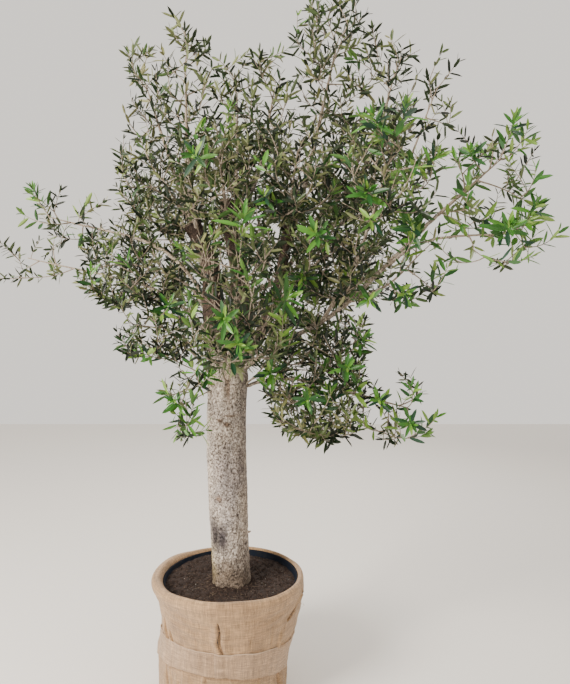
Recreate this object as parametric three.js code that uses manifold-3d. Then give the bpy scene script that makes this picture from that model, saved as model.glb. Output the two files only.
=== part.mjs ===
// A potted olive tree: a nursery tub in a burlap wrap, filled with soil, and a pollarded trunk
// whose boughs carry separate masses of foliage. Millimetres, +Z up, origin at the centre of
// the tub's flat underside. The front of the tree faces -Y.
import * as THREE from "three";
import { mergeVertices } from "three/addons/utils/BufferGeometryUtils.js";
import Module from "manifold-3d";

const wasm = await Module();
wasm.setup();

// Driving dimensions
const GAP = 0.3; // between pieces that touch
const POT_SEGMENTS = 28;
const TUB = { rimRadius: 282, baseRadius: 205, height: 495, lip: 4, lipHeight: 22, wall: 5, floor: 6 };
const SOIL = { edgeHeight: 448, crownHeight: 460, crownRadius: 112 };
// Where the soil is banked up against the wall: height, direction, and the cosines it fades between
const SOIL_BANKS = [[29, 2.7, 0, 0.95], [20, 0.7, -0.3, 0.9]];
const WRAP = {
  hem: 4,
  hemRadius: 288,
  waistRadius: 290,
  sheet: 5,
  foldDepth: 6,
  foldCount: 9,
  bellyDepth: 2.5,
  bellyTop: 450,
  rollBottom: 470,
  rollMiddle: 300, // radius: the roll swells only outside it
  rollSwell: 7,
  pressed: 0.62, // share of the roll's thickness that it lacks at the back and right
  rimInside: 287,
  rimTop: 497,
  rimLift: 9, // the rim is this much higher at the front, and lower at the back
};
const BAND = {
  low: 215, // its edges at the front
  high: 316,
  middle: 265.5,
  sheet: 4,
  clearance: 2.4,
  slipLow: { back: 60, right: 37 }, // how far each edge has slipped down elsewhere
  slipHigh: { back: 43, right: 16 },
  stillBelow: 20, // where the wrap no longer follows the band's slip
  stillAbove: 385,
};
// Heights of the wrap, and how far it is drawn in at its right and stands out at its left
const LOPSIDED = [
  [4, 58, 10],
  [110, 54, 11],
  [165, 50, 13],
  [200, 43, 17],
  [223, 37, 14],
  [268, 20, 3],
  [320, 8, 0],
  [385, 0, 0],
];
const TRUNK = { foot: SOIL.crownHeight + GAP, sides: 15, flute: 0.025, fluteCount: 5, widest: 90 };
const THICK_LIMB = { radius: 20, sides: 8, steps: 5 }; // limbs thicker than this radius
const THIN_LIMB = { sides: 5, steps: 3 };
const LIMB_SINK = 12; // how deep in its mass's space a limb ends
const LEAF = {
  length: 165,
  width: 64,
  thickness: 3.4,
  widest: 0.42, // where the waist is, as a share of the length
  sunk: 0.45, // how far behind the twig's centre the root starts, in twig radii
  lean: 0.85, // radians from the twig's direction
  tipLean: 0.1,
  roll: 2.4, // widest spread of the turn about the leaf's own length, in radians
  sizes: [1.25, 1, 0.8, 0.64], // tried in turn, each on every side of the twig
};
const STEM = { root: 13, tip: 8, steps: 3, overshoot: 0.4, bare: 0.6, leaves: 2 };
const SHOOT = {
  root: 5.8,
  tip: 3.6,
  steps: 2,
  leaves: 4,
  bare: 0.22, // share of the shoot without leaves
  leave: 0.16, // how far it follows the stem before it bends off
  sag: 0.1,
  reach: 0.76, // where its target is, as a share of the mass's reach
  lowest: -0.75, // the targets' places along the stem's direction
  highest: 0.95,
  first: 0.12, // the shoots' places on the stem
  last: 0.94,
  shortest: 0.45,
};
const FIRST_SEED = 11;
const SPREAD = Math.PI * (3 - Math.sqrt(5)); // the golden angle
const CELL_MARGIN = 1.5; // each side of the plane between two masses
const LIMB_MARGIN = 4; // between a leaf or twig and a limb

const COLOURS = {
  bark: "#a3988a",
  branch: "#9a8b76",
  leaf: "#5d7355",
  burlap: "#c3a07c",
  tub: "#23272f",
  soil: "#46332a",
};

// The trunk's rings from the soil to its head: height, centre x and radius
const TRUNK_RINGS = [
  [TRUNK.foot, 1, 82],
  [500, 0, 80],
  [560, -3, 79],
  [700, -8, 81],
  [850, -13, 82],
  [1000, -17, 82],
  [1150, -16, 81],
  [1270, -13, 82],
  [1330, -10, 85],
  [1375, -6, 80],
  [1408, -2, 62],
  [1424, 0, 36],
];

// The masses of foliage: centre, reach along each axis, and number of shoots
const MASSES = {
  top_left_outer: { centre: [-350, 90, 2490], reach: [100, 140, 260], shoots: 4 },
  top_left: { centre: [-155, -120, 2480], reach: [115, 140, 255], shoots: 5 },
  top_middle: { centre: [20, 190, 2470], reach: [130, 160, 270], shoots: 4 },
  top_inner: { centre: [180, -150, 2385], reach: [110, 140, 225], shoots: 4 },
  top_peak: { centre: [435, 50, 2630], reach: [175, 170, 305], shoots: 7 },
  top_right: { centre: [665, 0, 2500], reach: [105, 150, 235], shoots: 4 },
  spur_right: { centre: [805, -110, 2390], reach: [100, 110, 270], shoots: 3 },
  left_high: { centre: [-265, 10, 2130], reach: [190, 240, 215], shoots: 5 },
  middle_high: { centre: [-10, -190, 2130], reach: [170, 230, 195], shoots: 4 },
  right_high: { centre: [265, -220, 2130], reach: [165, 230, 190], shoots: 4 },
  right_far: { centre: [540, 70, 2240], reach: [200, 250, 215], shoots: 5 },
  right_near: { centre: [575, -410, 2090], reach: [180, 210, 190], shoots: 4 },
  left_middle: { centre: [-390, 40, 1810], reach: [230, 270, 180], shoots: 5 },
  shoot_left: { centre: [-650, -50, 1980], reach: [185, 110, 150], shoots: 3 },
  shoot_left_far: { centre: [-860, 290, 1850], reach: [275, 110, 130], shoots: 3 },
  left_low: { centre: [-275, -50, 1560], reach: [175, 220, 140], shoots: 4 },
  middle_front: { centre: [60, -370, 1680], reach: [190, 210, 290], shoots: 5 },
  right_middle: { centre: [410, -190, 1850], reach: [210, 250, 195], shoots: 5 },
  shoot_high: { centre: [890, -450, 2070], reach: [195, 160, 190], shoots: 4 },
  shoot_low: { centre: [940, -430, 1880], reach: [215, 130, 110], shoots: 3 },
  right_edge: { centre: [695, -300, 1790], reach: [130, 170, 190], shoots: 3 },
  right_low: { centre: [350, -170, 1410], reach: [215, 240, 300], shoots: 5 },
  right_low_tip: { centre: [630, -200, 1260], reach: [185, 150, 150], shoots: 3 },
  hanging_left: { centre: [-150, -220, 1310], reach: [105, 120, 200], shoots: 3 },
  back_left: { centre: [-310, 480, 1930], reach: [290, 280, 320], shoots: 5 },
  back_middle: { centre: [60, 560, 2190], reach: [280, 290, 370], shoots: 6 },
  back_right: { centre: [480, 510, 1960], reach: [300, 290, 330], shoots: 5 },
  back_low: { centre: [120, 460, 1560], reach: [350, 270, 220], shoots: 5 },
};

// The limbs: what each grows from and how far along it, the points it passes, the mass it
// carries, and its radii at both ends. The bough_ limbs leave the trunk's head, and the limb_
// ones are thinner branches of theirs and of the trunk.
const LIMBS = [
  ["bough_left", "trunk", 0.86, [[-60, -5, 1490], [-72, 0, 1650], [-90, 0, 1840]], "left_high", 42, 36],
  ["bough_middle", "trunk", 0.88, [[62, 15, 1570], [45, 25, 1740], [0, 10, 1960]], "middle_high", 37, 30],
  ["bough_right", "trunk", 0.86, [[125, 45, 1520], [200, 20, 1720]], "right_high", 27, 20],
  ["bough_back", "trunk", 0.88, [[-20, 120, 1530], [10, 270, 1780]], "back_middle", 32, 22],
  ["bough_front", "trunk", 0.84, [[10, -130, 1425]], "middle_front", 17, 11],
  ["bough_right_long", "trunk", 0.9, [[170, -60, 1462], [420, -175, 1610], [740, -370, 1930]], "shoot_high", 12, 9],
  ["limb_top_left_outer", "bough_left", 0.8, [[-190, 70, 2060]], "top_left_outer", 12, 9],
  ["limb_top_left", "bough_left", 0.9, [[-150, -80, 2080]], "top_left", 12, 9],
  ["limb_top_middle", "bough_middle", 0.75, [[20, 120, 2080]], "top_middle", 12, 9],
  ["limb_top_inner", "bough_middle", 0.9, [[110, -30, 2140]], "top_inner", 11, 8],
  ["limb_top_peak", "bough_right", 0.7, [[290, 50, 2050]], "top_peak", 14, 10],
  ["limb_right_far", "bough_right", 0.6, [[330, 40, 1950]], "right_far", 13, 9],
  ["limb_top_right", "limb_right_far", 0.75, [[560, 20, 2210]], "top_right", 10, 8],
  ["limb_spur_right", "limb_right_far", 0.55, [[640, -60, 2080]], "spur_right", 8, 6],
  ["limb_right_middle", "bough_right", 0.35, [[250, -50, 1710]], "right_middle", 11, 8],
  ["limb_right_near", "bough_right_long", 0.45, [[490, -280, 1800]], "right_near", 9, 7],
  ["limb_right_edge", "bough_right_long", 0.6, [[600, -290, 1710]], "right_edge", 7, 6],
  ["limb_shoot_low", "bough_right_long", 0.75, [[720, -390, 1860]], "shoot_low", 7, 6],
  ["limb_left_middle", "bough_left", 0.35, [[-170, 20, 1720]], "left_middle", 11, 8],
  ["limb_shoot_left", "bough_left", 0.5, [[-260, -40, 1860]], "shoot_left", 9, 6],
  ["limb_shoot_left_far", "bough_left", 0.28, [[-300, 170, 1690]], "shoot_left_far", 9, 6],
  ["limb_right_low_tip", "trunk", 0.85, [[220, -40, 1340]], "right_low_tip", 9, 7],
  ["limb_back_left", "bough_back", 0.5, [[-120, 300, 1740]], "back_left", 14, 10],
  ["limb_back_right", "bough_back", 0.55, [[190, 320, 1760]], "back_right", 14, 10],
];

// Masses whose stem grows from the trunk itself, with the point it leaves towards
const FROM_TRUNK = [
  ["left_low", 0.82, [-150, -20, 1440]],
  ["hanging_left", 0.79, [-120, -120, 1370]],
  ["right_low", 0.8, [140, -60, 1370]],
  ["back_low", 0.85, [20, 150, 1430]],
];

const vector = ([x, y, z]) => new THREE.Vector3(x, y, z);
const mix = (a, b, t) => a + (b - a) * t;
const clamp = (x, low = 0, high = 1) => Math.min(high, Math.max(low, x));
function eased(x, low, high) {
  const t = clamp((x - low) / (high - low));
  return t * t * (3 - 2 * t);
}

// Numbers from 0 to 1 that are the same each time for one seed
function randomFrom(seed) {
  let state = seed >>> 0;
  return () => {
    state = (state + 0x6d2b79f5) >>> 0;
    let t = Math.imul(state ^ (state >>> 15), 1 | state);
    t = (t + Math.imul(t ^ (t >>> 7), 61 | t)) ^ t;
    return ((t ^ (t >>> 14)) >>> 0) / 4294967296;
  };
}

// A geometry with only its corners, each shared by the faces that meet there
function bareGeometry(geometry) {
  const bare = geometry.clone();
  bare.deleteAttribute("normal");
  bare.deleteAttribute("uv");
  return mergeVertices(bare, 1e-4);
}

function solidOf(geometry) {
  const bare = bareGeometry(geometry);
  return new wasm.Manifold(
    new wasm.Mesh({
      numProp: 3,
      vertProperties: new Float32Array(bare.attributes.position.array),
      triVerts: new Uint32Array(bare.index.array),
    }),
  );
}

function geometryOf(solid) {
  const mesh = solid.getMesh();
  const geometry = new THREE.BufferGeometry();
  geometry.setAttribute("position", new THREE.BufferAttribute(mesh.vertProperties, 3));
  geometry.setIndex(new THREE.BufferAttribute(mesh.triVerts, 1));
  geometry.computeVertexNormals();
  return geometry;
}

// The largest separate body of a solid: what a cut leaves loose is dropped
function largestBody(solid) {
  return solid.decompose().reduce((a, b) => (b.volume() > a.volume() ? b : a));
}

// A closed skin over rings of points, each ring counterclockwise seen from the last one
function skin(rings) {
  const sides = rings[0].length;
  const positions = rings.flat().flatMap((p) => [p.x, p.y, p.z]);
  const index = [];
  for (let i = 0; i + 1 < rings.length; i++) {
    for (let j = 0; j < sides; j++) {
      const a = i * sides + j;
      const b = i * sides + ((j + 1) % sides);
      index.push(a, b, b + sides, a, b + sides, a + sides);
    }
  }
  const last = (rings.length - 1) * sides;
  for (let j = 1; j + 1 < sides; j++) {
    index.push(0, j + 1, j, last, last + j, last + j + 1);
  }
  const geometry = new THREE.BufferGeometry();
  geometry.setAttribute("position", new THREE.Float32BufferAttribute(positions, 3));
  geometry.setIndex(index);
  return geometry;
}

// Frames carried along part of a curve without twisting
function framesAlong(curve, from, to, steps) {
  const first = curve.getTangentAt(from);
  const normal = new THREE.Vector3(0, 1, 0).cross(first);
  if (normal.length() < 0.1) normal.set(1, 0, 0);
  return Array.from({ length: steps + 1 }, (_, i) => {
    const t = mix(from, to, i / steps);
    const tangent = curve.getTangentAt(t);
    normal.addScaledVector(tangent, -normal.dot(tangent)).normalize();
    return { centre: curve.getPointAt(t), tangent, normal: normal.clone() };
  });
}

// The frame at a fraction of a limb's length, on the straight stretch between two of its rings
function frameAt(frames, fraction) {
  const place = Math.min(fraction * (frames.length - 1), frames.length - 1.001);
  const [a, b] = [frames[Math.floor(place)], frames[Math.floor(place) + 1]];
  const tangent = b.centre.clone().sub(a.centre).normalize();
  const normal = a.normal.clone().addScaledVector(tangent, -a.normal.dot(tangent)).normalize();
  return { centre: a.centre.clone().lerp(b.centre, place % 1), tangent, normal };
}

// The direction square to a frame's tangent at an angle about it
function sideways(frame, angle) {
  return frame.normal.clone().applyAxisAngle(frame.tangent, angle);
}

// A tapering limb through its frames, its ends cut square
function taperedLimb(frames, radiusFrom, radiusTo, sides) {
  const rings = frames.map((frame, i) => {
    const radius = mix(radiusFrom, radiusTo, i / (frames.length - 1));
    return Array.from({ length: sides }, (_, j) =>
      frame.centre.clone().addScaledVector(sideways(frame, (2 * Math.PI * j) / sides), radius),
    );
  });
  return skin(rings);
}

// How far the burlap stands out: folds in its skirt, a soft belly above the band, and a roll
// at the rim that is thicker on the left
function drape(angle, height, radius) {
  if (height < BAND.low) {
    const hang = 1 - height / BAND.low;
    return WRAP.foldDepth * hang * Math.sin(WRAP.foldCount * angle + 1.1 * Math.sin(2 * angle));
  }
  if (height > BAND.high && height < WRAP.bellyTop) {
    return WRAP.bellyDepth * Math.sin(5 * angle + 0.7);
  }
  const isRoll = height > WRAP.rollBottom && radius > WRAP.rollMiddle;
  return isRoll ? WRAP.rollSwell * Math.max(0, -Math.cos(angle)) : 0;
}

// How far down the wrap and its band have slipped: nothing at the front, most at the back
function slip(angle, height) {
  const away = 1 + Math.sin(angle) - 0.6 * Math.max(0, Math.sin(angle)) ** 2;
  const slope = ({ back, right }) => back * away + right * Math.cos(angle);
  const share = clamp((height - BAND.low) / (BAND.high - BAND.low));
  const below = clamp((height - BAND.stillBelow) / (BAND.low - BAND.stillBelow));
  const above = clamp((BAND.stillAbove - height) / (BAND.stillAbove - BAND.high));
  return Math.min(below, above) * mix(slope(BAND.slipLow), slope(BAND.slipHigh), share);
}

// How far the wrap stands out at a height from its even shape: it is drawn in towards the
// tapering tub at its right and hangs loose at its left
function lopsided(angle, height) {
  const next = clamp(LOPSIDED.findIndex(([at]) => at >= height), 1, LOPSIDED.length - 1);
  const [below, above] = [LOPSIDED[next - 1], LOPSIDED[next]];
  const share = clamp((height - below[0]) / (above[0] - below[0]));
  const [right, left] = [mix(below[1], above[1], share), mix(below[2], above[2], share)];
  const toRight = (1 + Math.cos(angle)) / 2;
  return height > above[0] ? 0 : left * (1 - toRight) - right * toRight;
}

// Radius and height of the cloth at its rim: pressed thin at the back and right, and lifted at
// the front
function rimPlace(angle, radius, height) {
  const share = eased(height, 440, 490);
  const keep = 1 - WRAP.pressed * share * eased(Math.cos(angle - Math.PI / 3), -0.3, 0.9);
  const press = (value, edge) => (value > edge ? edge + (value - edge) * keep : value);
  const lift = WRAP.rimLift * share * -Math.sin(angle);
  return [press(radius, WRAP.rimInside), press(height, WRAP.rimTop) + lift];
}

// A turned body about Z from its profile of [radius, height]. Cloth is then draped
function turned(profile, isCloth = false) {
  const points = profile.map(([radius, height]) => new THREE.Vector2(radius, height));
  const geometry = new THREE.LatheGeometry(points, POT_SEGMENTS).rotateX(Math.PI / 2);
  const position = geometry.attributes.position;
  for (let i = 0; isCloth && i < position.count; i++) {
    const [x, y, height] = [position.getX(i), position.getY(i), position.getZ(i)];
    const radius = Math.hypot(x, y);
    const angle = Math.atan2(y, x);
    const lowered = height - slip(angle, height);
    const [near, level] = rimPlace(angle, radius, lowered);
    const moved = (near + drape(angle, height, radius) + lopsided(angle, lowered)) / radius;
    position.setXYZ(i, x * moved, y * moved, level);
  }
  return bareGeometry(geometry);
}

const tubRadius = (height) => mix(TUB.baseRadius, TUB.rimRadius, height / TUB.height);

// The nursery tub: a thin tapering wall with a lip, on a flat floor
function makeTub() {
  const { height, lip, lipHeight, wall, floor } = TUB;
  const under = height - lipHeight;
  return turned([
    [0, 0],
    [TUB.baseRadius, 0],
    [tubRadius(under), under],
    [tubRadius(under) + lip, under + lip],
    [TUB.rimRadius + lip, height],
    [TUB.rimRadius - wall, height],
    [TUB.baseRadius - wall, floor],
    [0, floor],
  ]);
}

// The soil fills the tub, rises a little to a flat place under the trunk and is banked up
// against the wall behind
function makeSoil() {
  const inside = (height) =>
    mix(TUB.baseRadius, TUB.rimRadius, (height - TUB.floor) / (TUB.height - TUB.floor)) -
    TUB.wall - 2 * GAP;
  const geometry = turned([
    [0, TUB.floor + GAP],
    [inside(TUB.floor), TUB.floor + GAP],
    [inside(SOIL.edgeHeight), SOIL.edgeHeight],
    [inside(SOIL.edgeHeight) * 0.75, SOIL.edgeHeight + 9],
    [SOIL.crownRadius, SOIL.crownHeight],
    [0, SOIL.crownHeight],
  ]);
  const position = geometry.attributes.position;
  for (let i = 0; i < position.count; i++) {
    const [x, y, height] = [position.getX(i), position.getY(i), position.getZ(i)];
    const [radius, angle] = [Math.hypot(x, y), Math.atan2(y, x)];
    if (height < SOIL.edgeHeight - 1) continue;
    let bank = 0;
    for (const [rise, at, from, to] of SOIL_BANKS) {
      bank += rise * eased(Math.cos(angle - at), from, to) * eased(radius, 120, 270);
    }
    const wider = inside(height + bank) / inside(height);
    position.setXYZ(i, x * wider, y * wider, height + bank);
  }
  return geometry;
}

// The burlap wrap: a sheet that hangs round the tub and is rolled over at its rim
function makeWrap() {
  const outside = [
    [WRAP.hemRadius, WRAP.hem],
    [289, 110],
    [WRAP.waistRadius, BAND.low],
    [WRAP.waistRadius, BAND.middle],
    [WRAP.waistRadius, BAND.high],
    [298, 385],
    [308, 455],
    [322, 480],
    [327, 498],
    [319, 514],
    [304, 520],
    [291, 511],
    [287, 495],
  ];
  const inside = [
    [287, WRAP.rollBottom],
    [292, 425],
    [WRAP.waistRadius - WRAP.sheet, BAND.high],
    [WRAP.waistRadius - WRAP.sheet, BAND.middle],
    [WRAP.waistRadius - WRAP.sheet, BAND.low],
    [289 - WRAP.sheet, 110],
    [WRAP.hemRadius - WRAP.sheet, WRAP.hem],
  ];
  return turned([...outside, ...inside, outside[0]], true);
}

// The burlap band tied round the wrap
function makeBand() {
  const inner = WRAP.waistRadius + BAND.clearance;
  const outer = inner + BAND.sheet;
  const profile = [
    [inner, BAND.low],
    [outer, BAND.low],
    [outer, BAND.middle],
    [outer, BAND.high],
    [inner, BAND.high],
    [inner, BAND.middle],
    [inner, BAND.low],
  ];
  return turned(profile, true);
}

// The trunk's axis, and the radius of one of its rings at an angle: it is lightly fluted
const trunkCurve = new THREE.CatmullRomCurve3(TRUNK_RINGS.map(([z, x]) => new THREE.Vector3(x, 0, z)));
const trunkRadius = (ring, angle) =>
  TRUNK_RINGS[ring][2] * (1 + TRUNK.flute * Math.sin(TRUNK.fluteCount * angle + ring * 0.35));

// The trunk, cut flat on the soil. Grown, it is the shape that cuts what touches it.
function makeTrunk(grow = 0) {
  const rings = TRUNK_RINGS.map(([height, x], ring) =>
    Array.from({ length: TRUNK.sides }, (_, j) => {
      const angle = (2 * Math.PI * j) / TRUNK.sides;
      const radius = trunkRadius(ring, angle) + grow;
      const top = ring === TRUNK_RINGS.length - 1 ? grow : 0;
      return new THREE.Vector3(x + radius * Math.cos(angle), radius * Math.sin(angle), height + top);
    }),
  );
  return skin(rings);
}

// How deep a point lies in a mass's own space: the least of its reach and of the planes
// half-way to its neighbours. Below zero it is outside.
function depthIn(name, point) {
  const mass = MASSES[name];
  const offset = point.clone().sub(mass.middle);
  const stretched = offset.clone().divide(mass.span);
  let depth = (1 - stretched.length()) * mass.size;
  for (const [other, near] of Object.entries(MASSES)) {
    if (other === name) continue;
    const apart = mass.middle.distanceTo(near.middle);
    if (apart > mass.largest + near.largest) continue;
    const own = offset.lengthSq() - mass.size ** 2;
    const theirs = point.distanceToSquared(near.middle) - near.size ** 2;
    depth = Math.min(depth, (theirs - own) / (2 * apart) - CELL_MARGIN);
  }
  return depth;
}

// Each mass's centre and reach as vectors, its mean reach and its largest one
for (const mass of Object.values(MASSES)) {
  mass.middle = vector(mass.centre);
  mass.span = vector(mass.reach);
  mass.size = Math.cbrt(mass.reach[0] * mass.reach[1] * mass.reach[2]);
  mass.largest = Math.max(...mass.reach);
}

// The curve from a limb's start through its points and on past the centre of its mass
function curveInto(name, start, via) {
  const mass = MASSES[name];
  const onwards = mass.middle.clone().sub(vector(via[via.length - 1])).normalize();
  const end = mass.middle.clone().add(onwards.multiply(mass.span).multiplyScalar(STEM.overshoot));
  return new THREE.CatmullRomCurve3([start, ...via.map(vector), end], false, "centripetal");
}

// How far along the curve a limb ends: a little inside the space of its mass
function entry(name, curve) {
  const samples = 400;
  let last = samples;
  while (last > 0 && depthIn(name, curve.getPointAt((last - 1) / samples)) > LIMB_SINK) last--;
  return last / samples;
}

// Closest approach of two straight stretches
function stretchDistance(a0, a1, b0, b1) {
  const u = a1.clone().sub(a0);
  const v = b1.clone().sub(b0);
  const w = a0.clone().sub(b0);
  const uu = u.dot(u);
  const vv = v.dot(v);
  const uv = u.dot(v);
  const slant = uu * vv - uv * uv;
  let s = slant > 1e-9 ? clamp((uv * v.dot(w) - vv * u.dot(w)) / slant) : 0;
  const t = clamp((uv * s + v.dot(w)) / vv);
  s = clamp((uv * t - u.dot(w)) / uu);
  return a0.clone().addScaledVector(u, s).distanceTo(b0.clone().addScaledVector(v, t));
}

// What the limbs and foliage share: each limb's solid, the straight stretches that leaves keep
// clear of, and the curve and end of everything that branches
const limbs = {};
const limbStretches = [];
const tree = { trunk: { curve: trunkCurve, end: 1 } };

// The straight stretches of a limb or twig, with the radius of the thicker end
function stretchesOf(frames, radiusFrom, radiusTo) {
  return frames.slice(1).map((frame, i) => ({
    from: frames[i].centre,
    to: frame.centre,
    radius: mix(radiusFrom, radiusTo, i / (frames.length - 1)),
  }));
}

// Each limb is cut clear of the trunk and of the limbs made before it, and hands its curve on
// to the stem of the mass it carries
function makeLimbs() {
  const trunkCutter = solidOf(makeTrunk(GAP));
  const cutters = [trunkCutter];
  limbStretches.push(...stretchesOf(framesAlong(trunkCurve, 0, 1, 8), TRUNK.widest, TRUNK.widest));
  for (const [name, parent, at, via, mass, radiusFrom, radiusTo] of LIMBS) {
    const host = tree[parent];
    const curve = curveInto(mass, host.curve.getPointAt(at * host.end), via);
    const end = entry(mass, curve);
    const { sides, steps } = radiusFrom > THICK_LIMB.radius ? THICK_LIMB : THIN_LIMB;
    const frames = framesAlong(curve, 0, end, steps);
    let solid = solidOf(taperedLimb(frames, radiusFrom, radiusTo, sides));
    for (const cutter of cutters) solid = solid.subtract(cutter);
    limbs[name] = largestBody(solid);
    const grow = GAP / Math.cos(Math.PI / sides); // so that the flats between corners clear too
    cutters.push(solidOf(taperedLimb(frames, radiusFrom + grow, radiusTo + grow, sides)));
    limbStretches.push(...stretchesOf(frames, radiusFrom, radiusTo));
    tree[name] = { curve, end };
    MASSES[mass].stem = { curve, from: end + GAP / curve.getLength() };
  }
  for (const [mass, at, leaving] of FROM_TRUNK) {
    const curve = curveInto(mass, trunkCurve.getPointAt(at), [leaving]);
    MASSES[mass].stem = { curve, from: 0, cutter: trunkCutter };
  }
}

// A leaf blade of eight faces that meet at its waist. Its outer part is what keeps off others.
function leafBlade(root, direction, face, size, sunk) {
  const across = direction.clone().cross(face).normalize();
  const start = root.clone().addScaledVector(direction, -sunk);
  const length = LEAF.length * size;
  const waist = start.clone().addScaledVector(direction, length * LEAF.widest);
  const halfWidth = (LEAF.width * size) / 2;
  const halfThick = LEAF.thickness / 2;
  const ring = [
    waist.clone().addScaledVector(across, halfWidth),
    waist.clone().addScaledVector(face, halfThick),
    waist.clone().addScaledVector(across, -halfWidth),
    waist.clone().addScaledVector(face, -halfThick),
  ];
  const tip = start.clone().addScaledVector(direction, length);
  const corners = [start, ...ring, tip];
  const positions = corners.flatMap((p) => [p.x, p.y, p.z]);
  const index = [];
  for (let j = 0; j < 4; j++) {
    const a = 1 + j;
    const b = 1 + ((j + 1) % 4);
    index.push(0, a, b, 5, b, a);
  }
  const geometry = new THREE.BufferGeometry();
  geometry.setAttribute("position", new THREE.Float32BufferAttribute(positions, 3));
  geometry.setIndex(index);
  return { geometry, corners, halfWidth, start, tip, outer: start.clone().lerp(tip, 0.3) };
}

// Whether corners lie in a mass's space and the stretch between two points clears the limbs
function isFree(name, corners, from, to, halfWidth) {
  if (corners.some((corner) => depthIn(name, corner) < 0)) return false;
  return limbStretches.every(
    (limb) => stretchDistance(from, to, limb.from, limb.to) > limb.radius + halfWidth + LIMB_MARGIN,
  );
}

// Whether the outer part of a leaf keeps off the mass's other twigs and leaves
function isApart(leaf, taken) {
  return taken.every(
    (other) =>
      stretchDistance(leaf.outer, leaf.tip, other.from, other.to) > other.radius + leaf.halfWidth * 0.5,
  );
}

// Leaves along a three-sided twig, each on the flat side after the last one's, and one at its
// tip. What fits nowhere is skipped.
function leavesOn(name, twig, random, taken) {
  const leaves = [];
  const { bare, root, tip } = twig.kind;
  const count = twig.kind.leaves;
  const firstSide = Math.floor(random() * 3);
  for (let k = 1; k <= count + 1; k++) {
    const isTip = k > count;
    const along = isTip ? 0.99 : mix(bare, 0.93, (k - 0.5) / count);
    const frame = frameAt(twig.frames, along);
    const sunk = LEAF.sunk * mix(root, tip, along);
    const roll = LEAF.roll * (random() - 0.5);
    const lean = isTip ? LEAF.tipLean : LEAF.lean * (0.8 + 0.4 * random());
    const leaf = fittingLeaf(name, frame, firstSide + k, lean, roll, sunk, taken);
    if (!leaf) continue;
    leaves.push(leaf);
    taken.push({ from: leaf.outer, to: leaf.tip, radius: leaf.halfWidth * 0.5 });
  }
  return leaves;
}

// One leaf of the largest size that fits on some side of the twig, or none
function fittingLeaf(name, frame, firstSide, lean, roll, sunk, taken) {
  for (const size of LEAF.sizes) {
    for (let turn = 0; turn < 3; turn++) {
      const side = sideways(frame, ((firstSide + turn + 0.5) * 2 * Math.PI) / 3);
      const direction = frame.tangent.clone().multiplyScalar(Math.cos(lean));
      direction.addScaledVector(side, Math.sin(lean)).normalize();
      const face = frame.tangent.clone().cross(side).applyAxisAngle(direction, Math.PI / 2 + roll);
      const leaf = leafBlade(frame.centre, direction, face.normalize(), size, sunk);
      const clear = isFree(name, leaf.corners.slice(1), leaf.start, leaf.tip, leaf.halfWidth * 0.6);
      if (clear && isApart(leaf, taken)) return leaf;
    }
  }
  return null;
}

// Where a mass's shoots are aimed: points spread by the golden angle about the stem's
// direction, on a surface inside the mass's reach
function shootTargets(mass, axis, random) {
  const turn = new THREE.Quaternion().setFromUnitVectors(new THREE.Vector3(0, 0, 1), axis);
  const phase = random() * 2 * Math.PI;
  return Array.from({ length: mass.shoots }, (_, k) => {
    const up = mix(SHOOT.lowest, SHOOT.highest, (k + 0.5) / mass.shoots);
    const ring = Math.sqrt(1 - up * up);
    const around = phase + k * SPREAD;
    const aim = new THREE.Vector3(ring * Math.cos(around), ring * Math.sin(around), up);
    aim.applyQuaternion(turn).multiply(mass.span).multiplyScalar(SHOOT.reach);
    return mass.middle.clone().add(aim);
  });
}

// One mass: a stem, shoots from it and leaves on both, all fused into one body
function makeMass(name, seed) {
  const mass = MASSES[name];
  const { curve, from, cutter } = mass.stem;
  const random = randomFrom(seed);
  const frames = framesAlong(curve, from, 1, STEM.steps);
  let solid = solidOf(taperedLimb(frames, STEM.root, STEM.tip, 3));
  const taken = stretchesOf(frames, STEM.root, STEM.tip);
  const twigs = [{ frames, kind: STEM }];
  const axis = curve.getPointAt(1).sub(curve.getPointAt(Math.max(from, 0.5))).normalize();
  shootTargets(mass, axis, random).forEach((target, k) => {
    const along = mix(SHOOT.first, SHOOT.last, (k + 0.5) / mass.shoots);
    const shoot = makeShoot(name, frameAt(frames, along), target, random);
    if (!shoot) return;
    solid = solid.add(solidOf(taperedLimb(shoot, SHOOT.root, SHOOT.tip, 3)));
    taken.push(...stretchesOf(shoot, SHOOT.root, SHOOT.tip));
    twigs.push({ frames: shoot, kind: SHOOT });
  });
  for (const twig of twigs.reverse()) {
    for (const leaf of leavesOn(name, twig, random, taken)) solid = solid.add(solidOf(leaf.geometry));
  }
  if (cutter) solid = solid.subtract(cutter);
  return largestBody(solid);
}

// A shoot leaves along the stem, sags and bends up towards its target, and is shortened until
// it lies in the mass's space
function makeShoot(name, frame, target, random) {
  const reach = target.clone().sub(frame.centre);
  const length = reach.length();
  const bend = frame.centre
    .clone()
    .addScaledVector(reach, 0.5)
    .addScaledVector(frame.tangent, SHOOT.leave * length);
  bend.z -= SHOOT.sag * length * (0.5 + random());
  const curve = new THREE.QuadraticBezierCurve3(frame.centre, bend, target);
  for (let end = 1; end > SHOOT.shortest; end -= 0.1) {
    const frames = framesAlong(curve, 0, end, SHOOT.steps);
    const stretches = stretchesOf(frames, SHOOT.root, SHOOT.tip);
    const rings = frames.slice(1).map((ring) => ring.centre);
    const inside = rings.every((centre) => depthIn(name, centre) > SHOOT.root);
    const clear = stretches.every(({ from, to, radius }) => isFree(name, rings, from, to, radius));
    if (inside && clear) return frames;
  }
  return null;
}

function named(name, geometry, colour, roughness) {
  const material = new THREE.MeshStandardMaterial({ color: colour, roughness, metalness: 0 });
  material.flatShading = true;
  const mesh = new THREE.Mesh(geometry, material);
  mesh.name = name;
  return mesh;
}

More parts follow.
